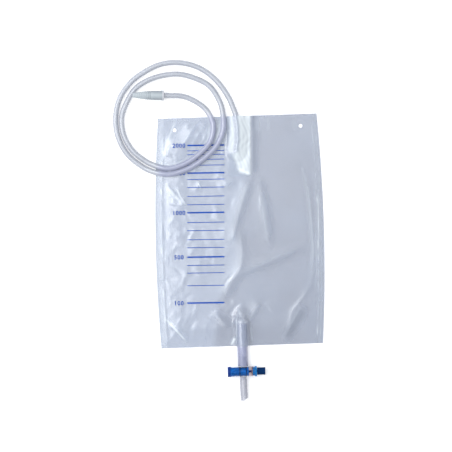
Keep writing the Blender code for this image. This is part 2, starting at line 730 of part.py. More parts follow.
def make_drain_tip(valve, material):
    """Short tube on the nozzle; it leans to the right below the nozzle and is cut off slantwise."""
    rings = 8
    free = NOZZLE_LENGTH / TIP_LENGTH
    shares = [0.0] + [free + (1 - free) * i / rings for i in range(rings + 1)]
    outer = [(TIP_LENGTH * share, TIP_RADIUS) for share in shares]
    inner = [(TIP_LENGTH * share, TIP_RADIUS - TIP_WALL) for share in reversed(shares)]
    mesh = turned("drain_tip", outer + inner, 24)
    for vertex in mesh.vertices:
        lean = max(0.0, vertex.co.x / TIP_LENGTH - free) / (1 - free)
        vertex.co.y += TIP_BEND * lean**2
    start = SHOULDER_REACH + FIT_GAP
    tip = add_object("drain_tip", mesh, material, valve, at=(0, -start, 0), turn=-math.pi / 2)
    bm = bmesh.new()
    bmesh.ops.create_cube(bm, size=4 * TIP_RADIUS)
    slant = Matrix.Rotation(TIP_CUT, 4, "Z") @ Matrix.Translation((0, -2 * TIP_RADIUS, 0))
    bmesh.ops.transform(bm, matrix=slant, verts=bm.verts)
    cutter = add_object("tip_cutter", to_mesh(bm, "tip_cutter"), material, valve)
    cutter.location = (TIP_BEND - TIP_CUT_INSET, -start - TIP_LENGTH + MERGE, 0)
    boolean(tip, cutter, "DIFFERENCE")


def bottom_edge_at(x):
    left, right = bag_point(0, 0), bag_point(1, 0)
    return left.y + (right.y - left.y) * (x - left.x) / (right.x - left.x)


def make_scale_line(name, share, width, surface):
    """A thin strip laid on the film; share is its height up the bag."""
    start = Vector((BAG_CENTRE.x - SCALE_LEFT, 0))
    start.y = bottom_edge_at(start.x + SCALE_LENGTH / 2) + share * BAG_HEIGHT
    direction = Vector((math.cos(SCALE_TURN), math.sin(SCALE_TURN)))

    def place(across, along):
        return start + direction * across * SCALE_LENGTH + Vector((0, (along - 0.5) * width))

    def lie_on_film(across, along):
        above = Vector((*place(across, along), 2 * OUTLET_Z + OUTLET_RADIUS))
        return surface.ray_cast(above, Vector((0, 0, -1)))[0].z + FIT_GAP

    return draped_grid(name, even_shares(8), [0.0, 1.0], place, lie_on_film)


def make_scale(bag, film, material):
    """The printed lines of the scale, thick at the numbered ones."""
    bpy.context.view_layer.update()
    surface = BVHTree.FromObject(film, bpy.context.evaluated_depsgraph_get())
    for volume, share in SCALE_SHARES.items():
        name = f"scale_{volume:04d}"
        numbered = volume % MAJOR_STEP == 0 or volume == min(SCALE_SHARES)
        mesh = make_scale_line(name, share, MAJOR_LINE if numbered else MINOR_LINE, surface)
        add_thickness(add_object(name, mesh, material, bag), INK)


def main():
    clear_scene()
    bag = bpy.data.objects.new("drainage_bag", None)
    valve = bpy.data.objects.new("valve_axis", None)
    for empty in (bag, valve):
        bpy.context.scene.collection.objects.link(empty)
    valve.parent = bag
    outer, _, _ = outlet_points()
    valve.location = (*(outer - outlet_axis() * (FIT_GAP + NECK_REACH)), OUTLET_Z)
    valve.rotation_euler = (0, 0, OUTLET_TURN)

    film = plastic("film", (0.62, 0.68, 0.80), 0.25, 0.5)
    sleeve = plastic("sleeve_film", (0.85, 0.90, 0.97), 0.30, 0.5)
    soft_tube = plastic("soft_tube", (0.60, 0.63, 0.67), 0.15, 0.6)
    connector = plastic("connector_plastic", (0.52, 0.60, 0.63), 0.25, 0.8)
    wide_tube = plastic("outlet_tube_plastic", (0.55, 0.58, 0.70), 0.15, 0.6)
    clear = plastic("clear_housing", (0.65, 0.72, 0.85), 0.10, 0.4)
    blue = plastic("blue_plastic", (0.01, 0.10, 0.38), 0.30)
    bright = plastic("bright_blue_plastic", (0.03, 0.18, 0.50), 0.30)
    navy = plastic("navy_plastic", (0.004, 0.03, 0.13), 0.35)
    rubber = plastic("seal_rubber", (0.05, 0.12, 0.30), 0.60)
    ink = plastic("scale_ink", (0.03, 0.12, 0.45), 0.50)

    make_back_film(bag, film)
    front = make_front_film(bag, film)
    make_sleeve(bag, sleeve)
    make_inlet_tube(bag, soft_tube)
    make_connector(bag, connector)
    make_outlet_tube(bag, wide_tube)
    make_housing(valve, clear)
    make_bush(valve, bright)
    make_rod_seal(valve, rubber)
    make_plunger(valve, blue)
    make_piston_seals(valve, rubber)
    make_knob(valve, navy)
    make_drain_tip(valve, soft_tube)
    make_scale(bag, front, ink)
    print("valve axis at", [round(value, 5) for value in valve.location])


main()
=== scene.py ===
# %% [markdown]
# # A drainage bag, flat on a white table
# The bag is two clear films welded together at their edges. A soft tube runs in at the top and a wide one
# runs out at the bottom, into a small push-pull valve. Everything is in metres: the bag's back lies on
# z = 0, its hanging edge points to +y, and the camera looks straight down.

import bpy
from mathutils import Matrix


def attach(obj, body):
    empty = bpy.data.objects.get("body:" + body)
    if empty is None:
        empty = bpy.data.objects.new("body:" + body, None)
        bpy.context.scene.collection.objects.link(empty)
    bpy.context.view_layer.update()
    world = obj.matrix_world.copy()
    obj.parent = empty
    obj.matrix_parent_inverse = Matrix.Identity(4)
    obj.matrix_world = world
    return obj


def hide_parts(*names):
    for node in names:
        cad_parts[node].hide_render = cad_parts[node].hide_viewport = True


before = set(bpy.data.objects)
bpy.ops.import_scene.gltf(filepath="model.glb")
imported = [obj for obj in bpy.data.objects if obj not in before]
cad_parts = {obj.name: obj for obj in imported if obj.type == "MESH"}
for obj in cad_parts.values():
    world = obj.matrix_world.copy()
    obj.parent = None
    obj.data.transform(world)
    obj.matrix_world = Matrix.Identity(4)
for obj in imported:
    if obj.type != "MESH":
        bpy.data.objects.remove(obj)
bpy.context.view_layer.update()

# %% Shared tools
import math

import bpy
import numpy as np
from mathutils import Matrix, Vector
from mathutils.bvhtree import BVHTree

QUARTER = math.pi / 2


def deselect_all():
    """Operators act on all that is selected, so each piece starts with nothing selected."""
    if bpy.context.object and bpy.context.object.mode != "OBJECT":
        bpy.ops.object.mode_set(mode="OBJECT")
    bpy.ops.object.select_all(action="DESELECT")


def pick(piece):
    deselect_all()
    piece.select_set(True)
    bpy.context.view_layer.objects.active = piece


def edit_all():
    """Opens the active piece's mesh with all of it selected."""
    bpy.ops.object.mode_set(mode="EDIT")
    bpy.ops.mesh.select_all(action="SELECT")


def apply_modifiers(piece):
    pick(piece)
    for modifier in list(piece.modifiers):
        bpy.ops.object.modifier_apply(modifier=modifier.name)


def settle(piece):
    """Moves the piece's place and turn into its mesh, so that the object itself is at the origin."""
    pick(piece)
    bpy.ops.object.transform_apply(location=True, rotation=True, scale=True)


def finish_piece(piece, name, material, body, *nodes):
    """Gives a piece its name, its material, the body it rides and the solids that it stands for."""
    piece.name = piece.data.name = name
    piece.data.materials.clear()
    piece.data.materials.append(material)
    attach(piece, body)
    if nodes:
        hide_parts(*nodes)
    print(f"{name}: {len(piece.data.polygons)} faces")


# %% [markdown]
# ## Camera
# The picture was taken from straight above. A long lens two metres up keeps the tall valve from leaning
# away from the middle. One pixel of the picture covers 1.38 mm of the table.

# %% Camera
PIXEL = 0.00138
PICTURE = 452
CAMERA_HEIGHT = 2.0
deselect_all()
bpy.ops.object.camera_add(location=(-0.0192, 0.0423, CAMERA_HEIGHT), rotation=(0, 0, 0))
camera = bpy.context.object
camera.data.lens = camera.data.sensor_width * CAMERA_HEIGHT / (PIXEL * PICTURE)
bpy.context.scene.camera = camera
print("lens:", round(camera.data.lens, 1), "mm")

# %% [markdown]
# ## Light
# Film shows its folds by what it mirrors. A wide soft lamp hangs up and to the left: the flat film mirrors
# it in its left half only, and slopes that face it turn white. A second one lights all from the left. The
# pale world fills in the rest, so that hardly any shadow falls on the table.

# %% Light
scene = bpy.context.scene
scene.view_settings.view_transform = "Standard"
scene.cycles.transparent_max_bounces = 24
world = bpy.data.worlds.new("pale room")
world.use_nodes = True
sky = world.node_tree.nodes["Background"].inputs
sky["Color"].default_value, sky["Strength"].default_value = (0.93, 0.96, 1.0, 1), 0.70
scene.world = world


def add_lamp(name, place, size, watts, colour, look_at=(0, 0, 0)):
    deselect_all()
    turn = (Vector(place) - Vector(look_at)).to_track_quat("Z", "Y").to_euler()
    bpy.ops.object.light_add(type="AREA", location=place, rotation=turn)
    lamp = bpy.context.object
    lamp.name = name
    lamp.data.shape = "RECTANGLE"
    lamp.data.size, lamp.data.size_y = size
    lamp.data.energy = watts
    lamp.data.color = colour
    print(name, "at", place)


add_lamp("overhead lamp", (-0.70, 0.7, 2.3), (0.84, 2.4), 17, (0.93, 0.97, 1.0), (-0.70, 0.7, 0))
add_lamp("side lamp", (-1.47, 0.3, 1.63), (1.3, 2.0), 26, (1, 1, 1))

# %% Table
deselect_all()
bpy.ops.mesh.primitive_plane_add(size=8, location=(0, 0, -0.0002))
table = bpy.context.object
table.name = "table"
paper = bpy.data.materials.new("white_table")
paper.use_nodes = True
for socket, value in {
    "Base Color": (0.84, 0.84, 0.84, 1),
    "Roughness": 0.9,
    "Specular IOR Level": 0.1,
    "Emission Color": (1, 1, 1, 1),
    "Emission Strength": 0.40,
}.items():
    paper.node_tree.nodes["Principled BSDF"].inputs[socket].default_value = value
table.data.materials.append(paper)
print("table laid")

# %% [markdown]
# ## Finishes
# The films and the soft tubes are see-through by their alpha, and a tube is less so at its edges, where the
# eye looks along the wall. The valve's clear body bends light as glass does. Noise in object coordinates
# makes the colour, gloss and surface uneven, as plastic is.


# %% Material tools
def start_material(name, colour, roughness, ior, alpha=1.0):
    made = bpy.data.materials.new(name)
    made.use_nodes = True
    shader = made.node_tree.nodes["Principled BSDF"]
    shader.inputs["Base Color"].default_value = (*colour, 1)
    shader.inputs["Roughness"].default_value = roughness
    shader.inputs["IOR"].default_value = ior
    shader.inputs["Alpha"].default_value = alpha
    return made, made.node_tree, shader


def add_node(tree, kind, inputs=(), **settings):
    node = tree.nodes.new(kind)
    for key, value in settings.items():
        setattr(node, key, value)
    for key, value in dict(inputs).items():
        node.inputs[key].default_value = value
    return node


def noise_from_object(tree, scale, detail=3.0, distortion=0.0):
    """Noise that stays put on the piece."""
    place = add_node(tree, "ShaderNodeTexCoord")
    texture = add_node(
        tree, "ShaderNodeTexNoise", {"Scale": scale, "Detail": detail, "Distortion": distortion}
    )
    tree.links.new(place.outputs["Object"], texture.inputs["Vector"])
    return texture.outputs["Fac"]


def map_range(tree, source, limits):
    """The source, from one range of values to another, both 0 to 1 where limits names no other."""
    span = add_node(tree, "ShaderNodeMapRange", limits)
    tree.links.new(source, span.inputs["Value"])
    return span.outputs["Result"]


def spread(tree, source, low, high):
    """The source's 0.3 to 0.7, where nearly all noise lies, spread over low to high."""
    return map_range(tree, source, {"From Min": 0.3, "From Max": 0.7, "To Min": low, "To Max": high})


def combine_values(tree, operation, first, second):
    """A sum, difference or the like of two values, each a socket or a number."""
    node = add_node(tree, "ShaderNodeMath", operation=operation)
    for socket, value in zip(node.inputs, (first, second)):
        if isinstance(value, float):
            socket.default_value = value
        else:
            tree.links.new(value, socket)
    return node.outputs["Value"]


def blend_colours(tree, source, dark, light):
    ramp = add_node(tree, "ShaderNodeValToRGB")
    ramp.color_ramp.elements[0].position = 0.35
    ramp.color_ramp.elements[1].position = 0.65
    ramp.color_ramp.elements[0].color = (*dark, 1)
    ramp.color_ramp.elements[1].color = (*light, 1)
    tree.links.new(source, ramp.inputs["Fac"])
    return ramp.outputs["Color"]


def mix_colours(tree, factor, first, second, blend="MIX"):
    """Mixes two colours, each a socket or three numbers, and returns the mixed socket."""
    node = add_node(tree, "ShaderNodeMix", data_type="RGBA", blend_type=blend)
    if isinstance(factor, float):
        node.inputs["Factor"].default_value = factor
    else:
        tree.links.new(factor, node.inputs["Factor"])
    ends = [socket for socket in node.inputs if socket.type == "RGBA"]
    for socket, colour in zip(ends, (first, second)):
        if isinstance(colour, tuple):
            socket.default_value = (*colour, 1)
        else:
            tree.links.new(colour, socket)
    return next(socket for socket in node.outputs if socket.type == "RGBA")


def add_bump(tree, source, shader, strength, distance):
    bump = add_node(tree, "ShaderNodeBump", {"Strength": strength, "Distance": distance})
    tree.links.new(source, bump.inputs["Height"])
    tree.links.new(bump.outputs["Normal"], shader.inputs["Normal"])


def far_from(tree, axis, middle, near, far):
    """0 within near of a plane across one axis, 1 beyond far of it."""
    place = add_node(tree, "ShaderNodeTexCoord")
    split = add_node(tree, "ShaderNodeSeparateXYZ")
    tree.links.new(place.outputs["Object"], split.inputs["Vector"])
    shift = combine_values(tree, "SUBTRACT", split.outputs[axis], middle)
    distance = add_node(tree, "ShaderNodeMath", operation="ABSOLUTE")
    tree.links.new(shift, distance.inputs[0])
    return map_range(tree, distance.outputs["Value"], {"From Min": near, "From Max": far})


def off_film(tree):
    """0 where the inlet tube's loops lie over the film, 1 elsewhere."""
    sideways = far_from(tree, "X", -0.055, 0.055, 0.062)
    upwards = far_from(tree, "Y", 0.150, 0.040, 0.048)
    return combine_values(tree, "MAXIMUM", sideways, upwards)


def denser_edges(tree, shader, middle, edge):
    """Alpha that grows from the middle of a tube to its edges, where the tint is deeper too.

    Over the film the whole tint is a little deeper as painted shade, and its edges lighter as painted
    light.
    """
    facing = add_node(tree, "ShaderNodeLayerWeight", {"Blend": 0.5}).outputs["Facing"]
    tree.links.new(map_range(tree, facing, {"To Min": middle, "To Max": edge}), shader.inputs["Alpha"])
    # over the film: painted light on the edges, painted shade on the whole tint
    beside, flank = off_film(tree), map_range(tree, facing, {"From Max": 0.5})
    flank = combine_values(tree, "MULTIPLY", flank, map_range(tree, beside, {"To Min": 0.35}))
    shade_over_film = mix_colours(tree, beside, (0.86, 0.86, 1.0), (1.0, 1.0, 1.0))
    tint = shader.inputs["Base Color"].links[0].from_socket
    tint = mix_colours(tree, 1.0, tint, shade_over_film, "MULTIPLY")
    deeper = mix_colours(tree, flank, tint, (0.62, 0.62, 0.66), "MULTIPLY")
    tree.links.new(deeper, shader.inputs["Base Color"])


# %% Film, tube, valve and ink
def mark(tree, name, low, high, since=0.0):
    """A value painted on the film's points, its part from since to 1 spread over low to high."""
    painted = add_node(tree, "ShaderNodeAttribute", attribute_name=name)
    return map_range(tree, painted.outputs["Fac"], {"From Min": since, "To Min": low, "To Max": high})


MILK_AND_LIGHT_DENSITY, SHADE_DENSITY = 0.58, 0.50  # how much alpha a full mark adds
# the white of milky film and painted light, and the colour of painted shade
MILK_AND_LIGHT_WHITE, PAINTED_SHADE_COLOUR = (0.90, 0.965, 1.0), (0.20, 0.23, 0.30)


def make_film(name, dark, light, bluish, alpha, rough):
    """Clear film, white and dense by its milk-and-light mark, denser and darker by shade, bluish by pale.
    """
    made, tree, shader = start_material(name, light, 0.2, 2.4, alpha)
    grey = blend_colours(tree, noise_from_object(tree, 14, 2, 0.4), dark, light)
    # the lamp's painted reflection: the pale part is tinted bluish
    clear = mix_colours(tree, mark(tree, "pale", 0, 1), grey, bluish)
    # painted shade: a darker colour where the shade mark is strong
    clear = mix_colours(tree, mark(tree, "shade", 0, 0.6, 0.5), clear, PAINTED_SHADE_COLOUR)
    # milky film and painted highlights, reflection and light, all painted white here
    white = mix_colours(tree, mark(tree, "milk", 0, 1), clear, MILK_AND_LIGHT_WHITE)
    tree.links.new(white, shader.inputs["Base Color"])
    # both marks add alpha: the white one for milky film and painted light, the shade one as painted shade
    dense = mark(tree, "milk", alpha, alpha + MILK_AND_LIGHT_DENSITY)
    dense = combine_values(tree, "ADD", dense, mark(tree, "shade", 0, SHADE_DENSITY))
    tree.links.new(dense, shader.inputs["Alpha"])
    gloss, dull = spread(tree, noise_from_object(tree, 30, 1), *rough), mark(tree, "milk", 0, 0.35, 0.4)
    tree.links.new(combine_values(tree, "ADD", gloss, dull), shader.inputs["Roughness"])
    add_bump(tree, noise_from_object(tree, 90, 2, 0.8), shader, 0.03, 0.001)
    return made


film = make_film(
    "soft_film", (0.36, 0.40, 0.50), (0.39, 0.44, 0.55), (0.38, 0.445, 0.59),
    alpha=0.30, rough=(0.22, 0.27),
)
milky = (0.88, 0.94, 1.0)
sleeve_film = make_film("sleeve_film", (0.84, 0.90, 0.97), milky, milky, alpha=0.30, rough=(0.30, 0.40))


def start_blended(name, dark, light, colour_scale, rough, rough_scale, ior):
    """A material whose colour lies between two, and whose roughness is uneven as well."""
    made, tree, shader = start_material(name, light, rough[0], ior)
    tint = blend_colours(tree, noise_from_object(tree, colour_scale), dark, light)
    gloss = spread(tree, noise_from_object(tree, rough_scale), *rough)
    tree.links.new(tint, shader.inputs["Base Color"])
    tree.links.new(gloss, shader.inputs["Roughness"])
    return made, tree, shader


def make_tube_plastic(name, dark, light, middle, edge, ior, rough):
    """Soft clear plastic, with one alpha where a tube faces the eye and one at its edges."""
    made, tree, shader = start_blended(name, dark, light, 40, (rough - 0.02, rough + 0.04), 60, ior)
    denser_edges(tree, shader, middle, edge)
    return made


tube_plastic = make_tube_plastic(
    "soft_tube", (0.62, 0.65, 0.72), (0.66, 0.69, 0.76), middle=0.45, edge=0.85, ior=2.2, rough=0.24
)
outlet_plastic = make_tube_plastic(
    "outlet_tube", (0.40, 0.43, 0.65), (0.45, 0.48, 0.73), middle=0.46, edge=0.78, ior=2.8, rough=0.14
)
tip_plastic = make_tube_plastic(
    "tip_tube", (0.54, 0.55, 0.63), (0.58, 0.59, 0.67), middle=0.48, edge=0.85, ior=2.4, rough=0.24
)
connector_plastic = make_tube_plastic(
    "connector", (0.44, 0.49, 0.52), (0.47, 0.52, 0.55), middle=0.94, edge=0.98, ior=1.4, rough=0.42
)


def make_glassy(name, colour, milky, greyish):
    """Rigid clear plastic: milky in the ports that stand out from the barrel, greyish beside the bush."""
    made, tree, shader = start_material(name, colour, 0.06, 1.20)
    port = far_from(tree, "Y", -0.15776, 0.0070, 0.0074)
    band = far_from(tree, "X", 0.0150, 0.0026, 0.0032)
    barrel = mix_colours(tree, band, greyish, colour)
    tree.links.new(mix_colours(tree, port, barrel, milky), shader.inputs["Base Color"])
    clear = map_range(tree, port, {"To Min": 1.0, "To Max": 0.4})
    tree.links.new(clear, shader.inputs["Transmission Weight"])
    shader.inputs["Specular Tint"].default_value = (0.45, 0.7, 1.0, 1)
    tree.links.new(spread(tree, noise_from_object(tree, 300), 0.04, 0.09), shader.inputs["Roughness"])
    add_bump(tree, noise_from_object(tree, 260, 2), shader, 0.05, 0.0005)
    return made


housing_plastic = make_glassy(
    "clear_housing", (0.90, 0.95, 1.0), milky=(0.50, 0.51, 0.60), greyish=(0.82, 0.755, 0.785)
)


def make_moulded(name, dark, light, roughness, ior=1.32):
    """Dense plastic or rubber with a fine grain."""
    rough = (roughness, roughness + 0.1)
    made, tree, shader = start_blended(name, dark, light, 120, rough, 400, ior)
    add_bump(tree, noise_from_object(tree, 2500, 2), shader, 0.15, 0.0001)
    return made


def recolour(made, at, near, far, inner=None, outer=None):
    """Gives a piece another colour within near of a spot along x, or beyond far of it."""
    tree, colour = made.node_tree, made.node_tree.nodes["Principled BSDF"].inputs["Base Color"]
    rest = colour.links[0].from_socket
    beyond = far_from(tree, "X", at, near, far)
    tree.links.new(mix_colours(tree, beyond, inner or rest, outer or rest), colour)


blue = make_moulded("blue_moulding", (0.0, 0.105, 0.40), (0.0, 0.135, 0.50), 0.30)
bright_blue = make_moulded("bright_blue_moulding", (0.0, 0.14, 0.42), (0.01, 0.18, 0.50), 0.30)
navy = make_moulded("navy_moulding", (0.0, 0.019, 0.080), (0.0, 0.026, 0.105), 0.50, 1.18)
seal = make_moulded("seal_rubber", (0.01, 0.03, 0.10), (0.015, 0.04, 0.13), 0.6)
tan_rubber = make_moulded("tan_rubber", (0.42, 0.30, 0.24), (0.48, 0.35, 0.28), 0.6)
ink = make_moulded("blue_ink", (0.0, 0.055, 0.36), (0.004, 0.075, 0.44), 0.5)
# painted light: the thin end is painted paler, against the shade on its narrow cone
recolour(connector_plastic, -0.1400, 0.008, 0.022, inner=(0.53, 0.58, 0.615))  # its thin end is paler
# painted highlight: the collar is painted paler
recolour(connector_plastic, -0.1047, 0.0016, 0.0022, inner=(0.60, 0.61, 0.65))  # and so is its collar
# painted shade: the plunger is painted darker at its head and stem, beyond the barrel's middle
recolour(blue, 0.0, 0.0125, 0.0130, outer=(0.0, 0.03, 0.20))  # the plunger's head is darker
print("materials:", len(bpy.data.materials))

# %% [markdown]
# ## Inlet tube
# The tube is a cord: it has one real length, and it lies on the table and on the bag. Its route is a smooth
# curve through points that follow the picture, and the wall is given its thickness afterwards, so that the
# bore shows through the clear plastic.

# %% The tube's route
FILM_THICK, GAP = 0.0003, 0.0003
TUBE_RADIUS = 0.0037
IN = 0.0014 + TUBE_RADIUS  # inside the bag, on the sleeve's back film
ON = 0.0030 + TUBE_RADIUS  # on the bag
FL = TUBE_RADIUS + 0.00005  # on the table
CONNECTOR_Z = 0.0069
ROUTE = [
    (-0.0045, 0.1465, IN), (-0.0028, 0.1595, IN), (-0.0030, 0.1775, IN), (-0.0055, 0.1935, IN),
    (-0.0099, 0.2062, 0.0042), (-0.0160, 0.2199, FL), (-0.0328, 0.2430, FL), (-0.0546, 0.2593, FL),
    (-0.0809, 0.2671, FL), (-0.1074, 0.2655, FL), (-0.1310, 0.2550, FL), (-0.1515, 0.2392, FL),
    (-0.1660, 0.2172, FL), (-0.1713, 0.1914, FL), (-0.1678, 0.1646, FL), (-0.1547, 0.1405, FL),
    (-0.1336, 0.1234, FL + 0.0001), (-0.1212, 0.1175, 0.0052), (-0.1080, 0.1143, ON),
    (-0.0945, 0.1137, ON), (-0.0692, 0.1222, ON), (-0.0468, 0.1375, ON), (-0.0314, 0.1542, ON),
    (-0.0232, 0.1748, ON), (-0.0228, 0.1894, 0.0061), (-0.0248, 0.2036, 0.0043),
    (-0.0287, 0.2152, FL), (-0.0422, 0.2352, FL), (-0.0624, 0.2460, FL), (-0.0836, 0.2513, FL),
    (-0.1047, 0.2499, FL), (-0.1250, 0.2438, FL), (-0.1437, 0.2319, FL), (-0.1559, 0.2127, FL),
    (-0.1629, 0.1913, FL), (-0.1600, 0.1676, FL), (-0.1481, 0.1463, FL), (-0.1289, 0.1310, FL + 0.0001),
    (-0.1176, 0.1256, 0.0052), (-0.1063, 0.1221, ON), (-0.0944, 0.1218, ON), (-0.0727, 0.1297, ON),
    (-0.0530, 0.1444, ON), (-0.0406, 0.1593, ON), (-0.0367, 0.1796, ON), (-0.0395, 0.1904, 0.0061),
    (-0.0450, 0.2002, 0.0043), (-0.0523, 0.2079, 0.0039), (-0.0709, 0.2185, 0.0042),
    (-0.0820, 0.2214, 0.0048), (-0.0930, 0.2218, 0.0058), (-0.1125, 0.2218, 0.0076),
]


def flat_route(first, last=None):
    """The route's points as seen from above, from one to before another."""
    return np.array([point[:2] for point in ROUTE[first:last]])


def smooth_route(points, spacing):
    """Even points on a smooth curve through the given ones (centripetal Catmull-Rom)."""
    points = [Vector(point) for point in points]
    ends = [2 * points[0] - points[1]] + points + [2 * points[-1] - points[-2]]
    fine = []
    for p0, p1, p2, p3 in zip(ends, ends[1:], ends[2:], ends[3:]):
        t1 = (p1 - p0).length ** 0.5
        t2 = t1 + (p2 - p1).length ** 0.5
        t3 = t2 + (p3 - p2).length ** 0.5
        for step in range(20):
            t = t1 + (t2 - t1) * step / 20
            a1 = p0.lerp(p1, t / t1)
            a2 = p1.lerp(p2, (t - t1) / (t2 - t1))
            a3 = p2.lerp(p3, (t - t2) / (t3 - t2))
            b1, b2 = a1.lerp(a2, t / t2), a2.lerp(a3, (t - t1) / (t3 - t1))
            fine.append(b1.lerp(b2, (t - t1) / (t2 - t1)))
    fine = np.array([*map(tuple, fine), tuple(points[-1])])
    passed = np.concatenate([[0], np.cumsum(np.linalg.norm(np.diff(fine, axis=0), axis=1))])
    even = np.linspace(0, passed[-1], round(passed[-1] / spacing) + 1)
    return np.stack([np.interp(even, passed, fine[:, k]) for k in range(3)], axis=1), passed[-1]


tube_line, tube_length = smooth_route(ROUTE, 0.003)
print(f"tube: {tube_length:.3f} m along {len(tube_line)} points")

# %% The tube's wall
TUBE_WALL = 0.0012


def make_pipe(name, line, radius, wall):
    """A hollow pipe: a bevelled curve made a mesh, then a wall built inwards."""
    curve = bpy.data.curves.new(name, "CURVE")
    curve.dimensions = "3D"
    curve.bevel_depth = radius
    curve.bevel_resolution = 10
    spline = curve.splines.new("POLY")
    spline.points.add(len(line) - 1)
    for target, point in zip(spline.points, line):
        target.co = (*point, 1)
    piece = bpy.data.objects.new(name, curve)
    scene.collection.objects.link(piece)
    pick(piece)
    bpy.ops.object.convert(target="MESH")
    piece = bpy.context.object
    add_wall(piece, wall, -1)
    bpy.ops.object.shade_smooth()
    return piece


def add_wall(piece, thickness, side):
    """Thickens a shell, inwards for side -1 and outwards for 1."""
    wall = piece.modifiers.new("wall", "SOLIDIFY")
    wall.thickness = thickness
    wall.offset = side
    apply_modifiers(piece)


inlet_tube = make_pipe("inlet_tube_clear", tube_line, TUBE_RADIUS, TUBE_WALL)
finish_piece(inlet_tube, "inlet_tube_clear", tube_plastic, "bag", "inlet_tube")

# %% [markdown]
# ## Turned pieces
# The connector and the valve's pieces are round. Each starts as a circle whose points are moved onto half
# of the piece's cross-section, and that outline is then spun round the x axis.


# %% Spin an outline
SPIN_STEPS = 72


def turn_outline(name, outline):
    """Spins a closed outline of (along, radius) round the x axis."""
    deselect_all()
    bpy.ops.mesh.primitive_circle_add(vertices=len(outline), radius=0.01)
    piece = bpy.context.object
    piece.name = name
    for vertex, (along, radius) in zip(piece.data.vertices, outline):
        vertex.co = (along, 0, radius)
    edit_all()
    bpy.ops.mesh.spin(steps=SPIN_STEPS, angle=2 * math.pi, center=(0, 0, 0), axis=(1, 0, 0))
    bpy.ops.mesh.select_all(action="SELECT")
    bpy.ops.mesh.remove_doubles(threshold=1e-6)
    bpy.ops.mesh.delete_loose()
    bpy.ops.mesh.select_all(action="SELECT")
    bpy.ops.mesh.normals_make_consistent(inside=False)
    bpy.ops.object.mode_set(mode="OBJECT")
    return piece


def soften(piece, width, segments=2, limit=30):
    """Rounds the edges sharper than limit degrees a little, and shades the rest smooth."""
    bevel = piece.modifiers.new("soft edges", "BEVEL")
    bevel.width = width
    bevel.segments = segments
    bevel.limit_method = "ANGLE"
    bevel.angle_limit = math.radians(limit)
    apply_modifiers(piece)
    bpy.ops.object.shade_smooth_by_angle(angle=math.radians(40))


def put(piece, at, turn=0.0):
    """Stands a piece that was made along +x at its place, turned about z."""
    piece.location = at
    piece.rotation_euler = (0, 0, turn)
    settle(piece)


def combine(piece, other, operation):
    """Adds another piece to this one, or cuts it out, and removes the other."""
    change = piece.modifiers.new(operation, "BOOLEAN")
    change.operation = operation
    change.solver = "EXACT"
    change.object = other
    apply_modifiers(piece)
    bpy.data.objects.remove(other, do_unlink=True)


# %% Connector
CONNECTOR_FACE = (-0.1047, 0.2218, CONNECTOR_Z)
CONNECTOR_TILT = math.radians(5.4)
COLLAR, BARREL, STEPS, STEP_LENGTH = 0.0034, 0.0184, 10, 0.00244
GROOVE_DEEP, GROOVE_WIDE = 0.0004, 0.0006
outline = [(0, 0.0040), (0, 0.0069), (COLLAR, 0.0069), (COLLAR, 0.0062), (BARREL, 0.0062)]
for i in range(STEPS):
    start = BARREL + i * STEP_LENGTH
    root, end = [0.0060 - 0.0031 * (j / STEPS) ** 1.5 for j in (i, i + 1)]
    outline += [(start, root - GROOVE_DEEP), (start + GROOVE_WIDE, root - GROOVE_DEEP)]
    outline += [(start + GROOVE_WIDE, root), (start + STEP_LENGTH, end + 0.00025)]
outline += [(0.0428, 0.0020), (0.010, 0.0020), (0.010, 0.0040)]
connector = turn_outline("connector", outline)
soften(connector, 0.0001)
connector.rotation_euler.y = -CONNECTOR_TILT
settle(connector)
put(connector, CONNECTOR_FACE, 2 * QUARTER)
finish_piece(connector, "tube_connector_moulded", connector_plastic, "bag", "tube_connector")

# %% [markdown]
# ## Films
# The front film is a fine grid. Its height is worked out point by point: flat in the welds, slack between
# them, drawn up like a tent over both tubes, and creased as film is that was folded in a packet. The main
# folds follow the picture, and many small ones come from a seeded random list. Three marks painted on its
# points tell the material where it is white, bluish or dense: milky welds and sleeve, painted highlights
# and light, the lamp's painted reflection in the left part, and painted shade on creases and lower right.

# %% Where the bag lies
BAG_CENTRE = np.array([-0.00030, 0.03549])
BAG_HEIGHT, TOP_WIDTH, BOTTOM_WIDTH, SIDE_BOW = 0.317, 0.219, 0.223, 0.0058
EDGE_TURN, AXIS_TURN = math.radians(1.95), math.radians(1.25)
UP = np.array([-math.sin(AXIS_TURN), math.cos(AXIS_TURN)])
ACROSS = np.array([math.cos(EDGE_TURN), math.sin(EDGE_TURN)])


def bag_point(across, along):
    """Spots on the table: across 0 to 1 from left to right, along 0 to 1 from bottom to top."""
    across, along = np.atleast_1d(across), np.atleast_1d(along)
    width = BOTTOM_WIDTH + (TOP_WIDTH - BOTTOM_WIDTH) * along + 8 * SIDE_BOW * along * (1 - along)
    up = ((along - 0.5) * BAG_HEIGHT)[:, None] * UP
    return BAG_CENTRE + up + ((across - 0.5) * width)[:, None] * ACROSS


def hole_centre(side):
    return bag_point(0.5 + side * (0.5 - 0.0235 / TOP_WIDTH), 1 - 0.0165 / BAG_HEIGHT)[0]


HOLES = [hole_centre(-1), hole_centre(1)]
print("holes at", [hole.round(4).tolist() for hole in HOLES])

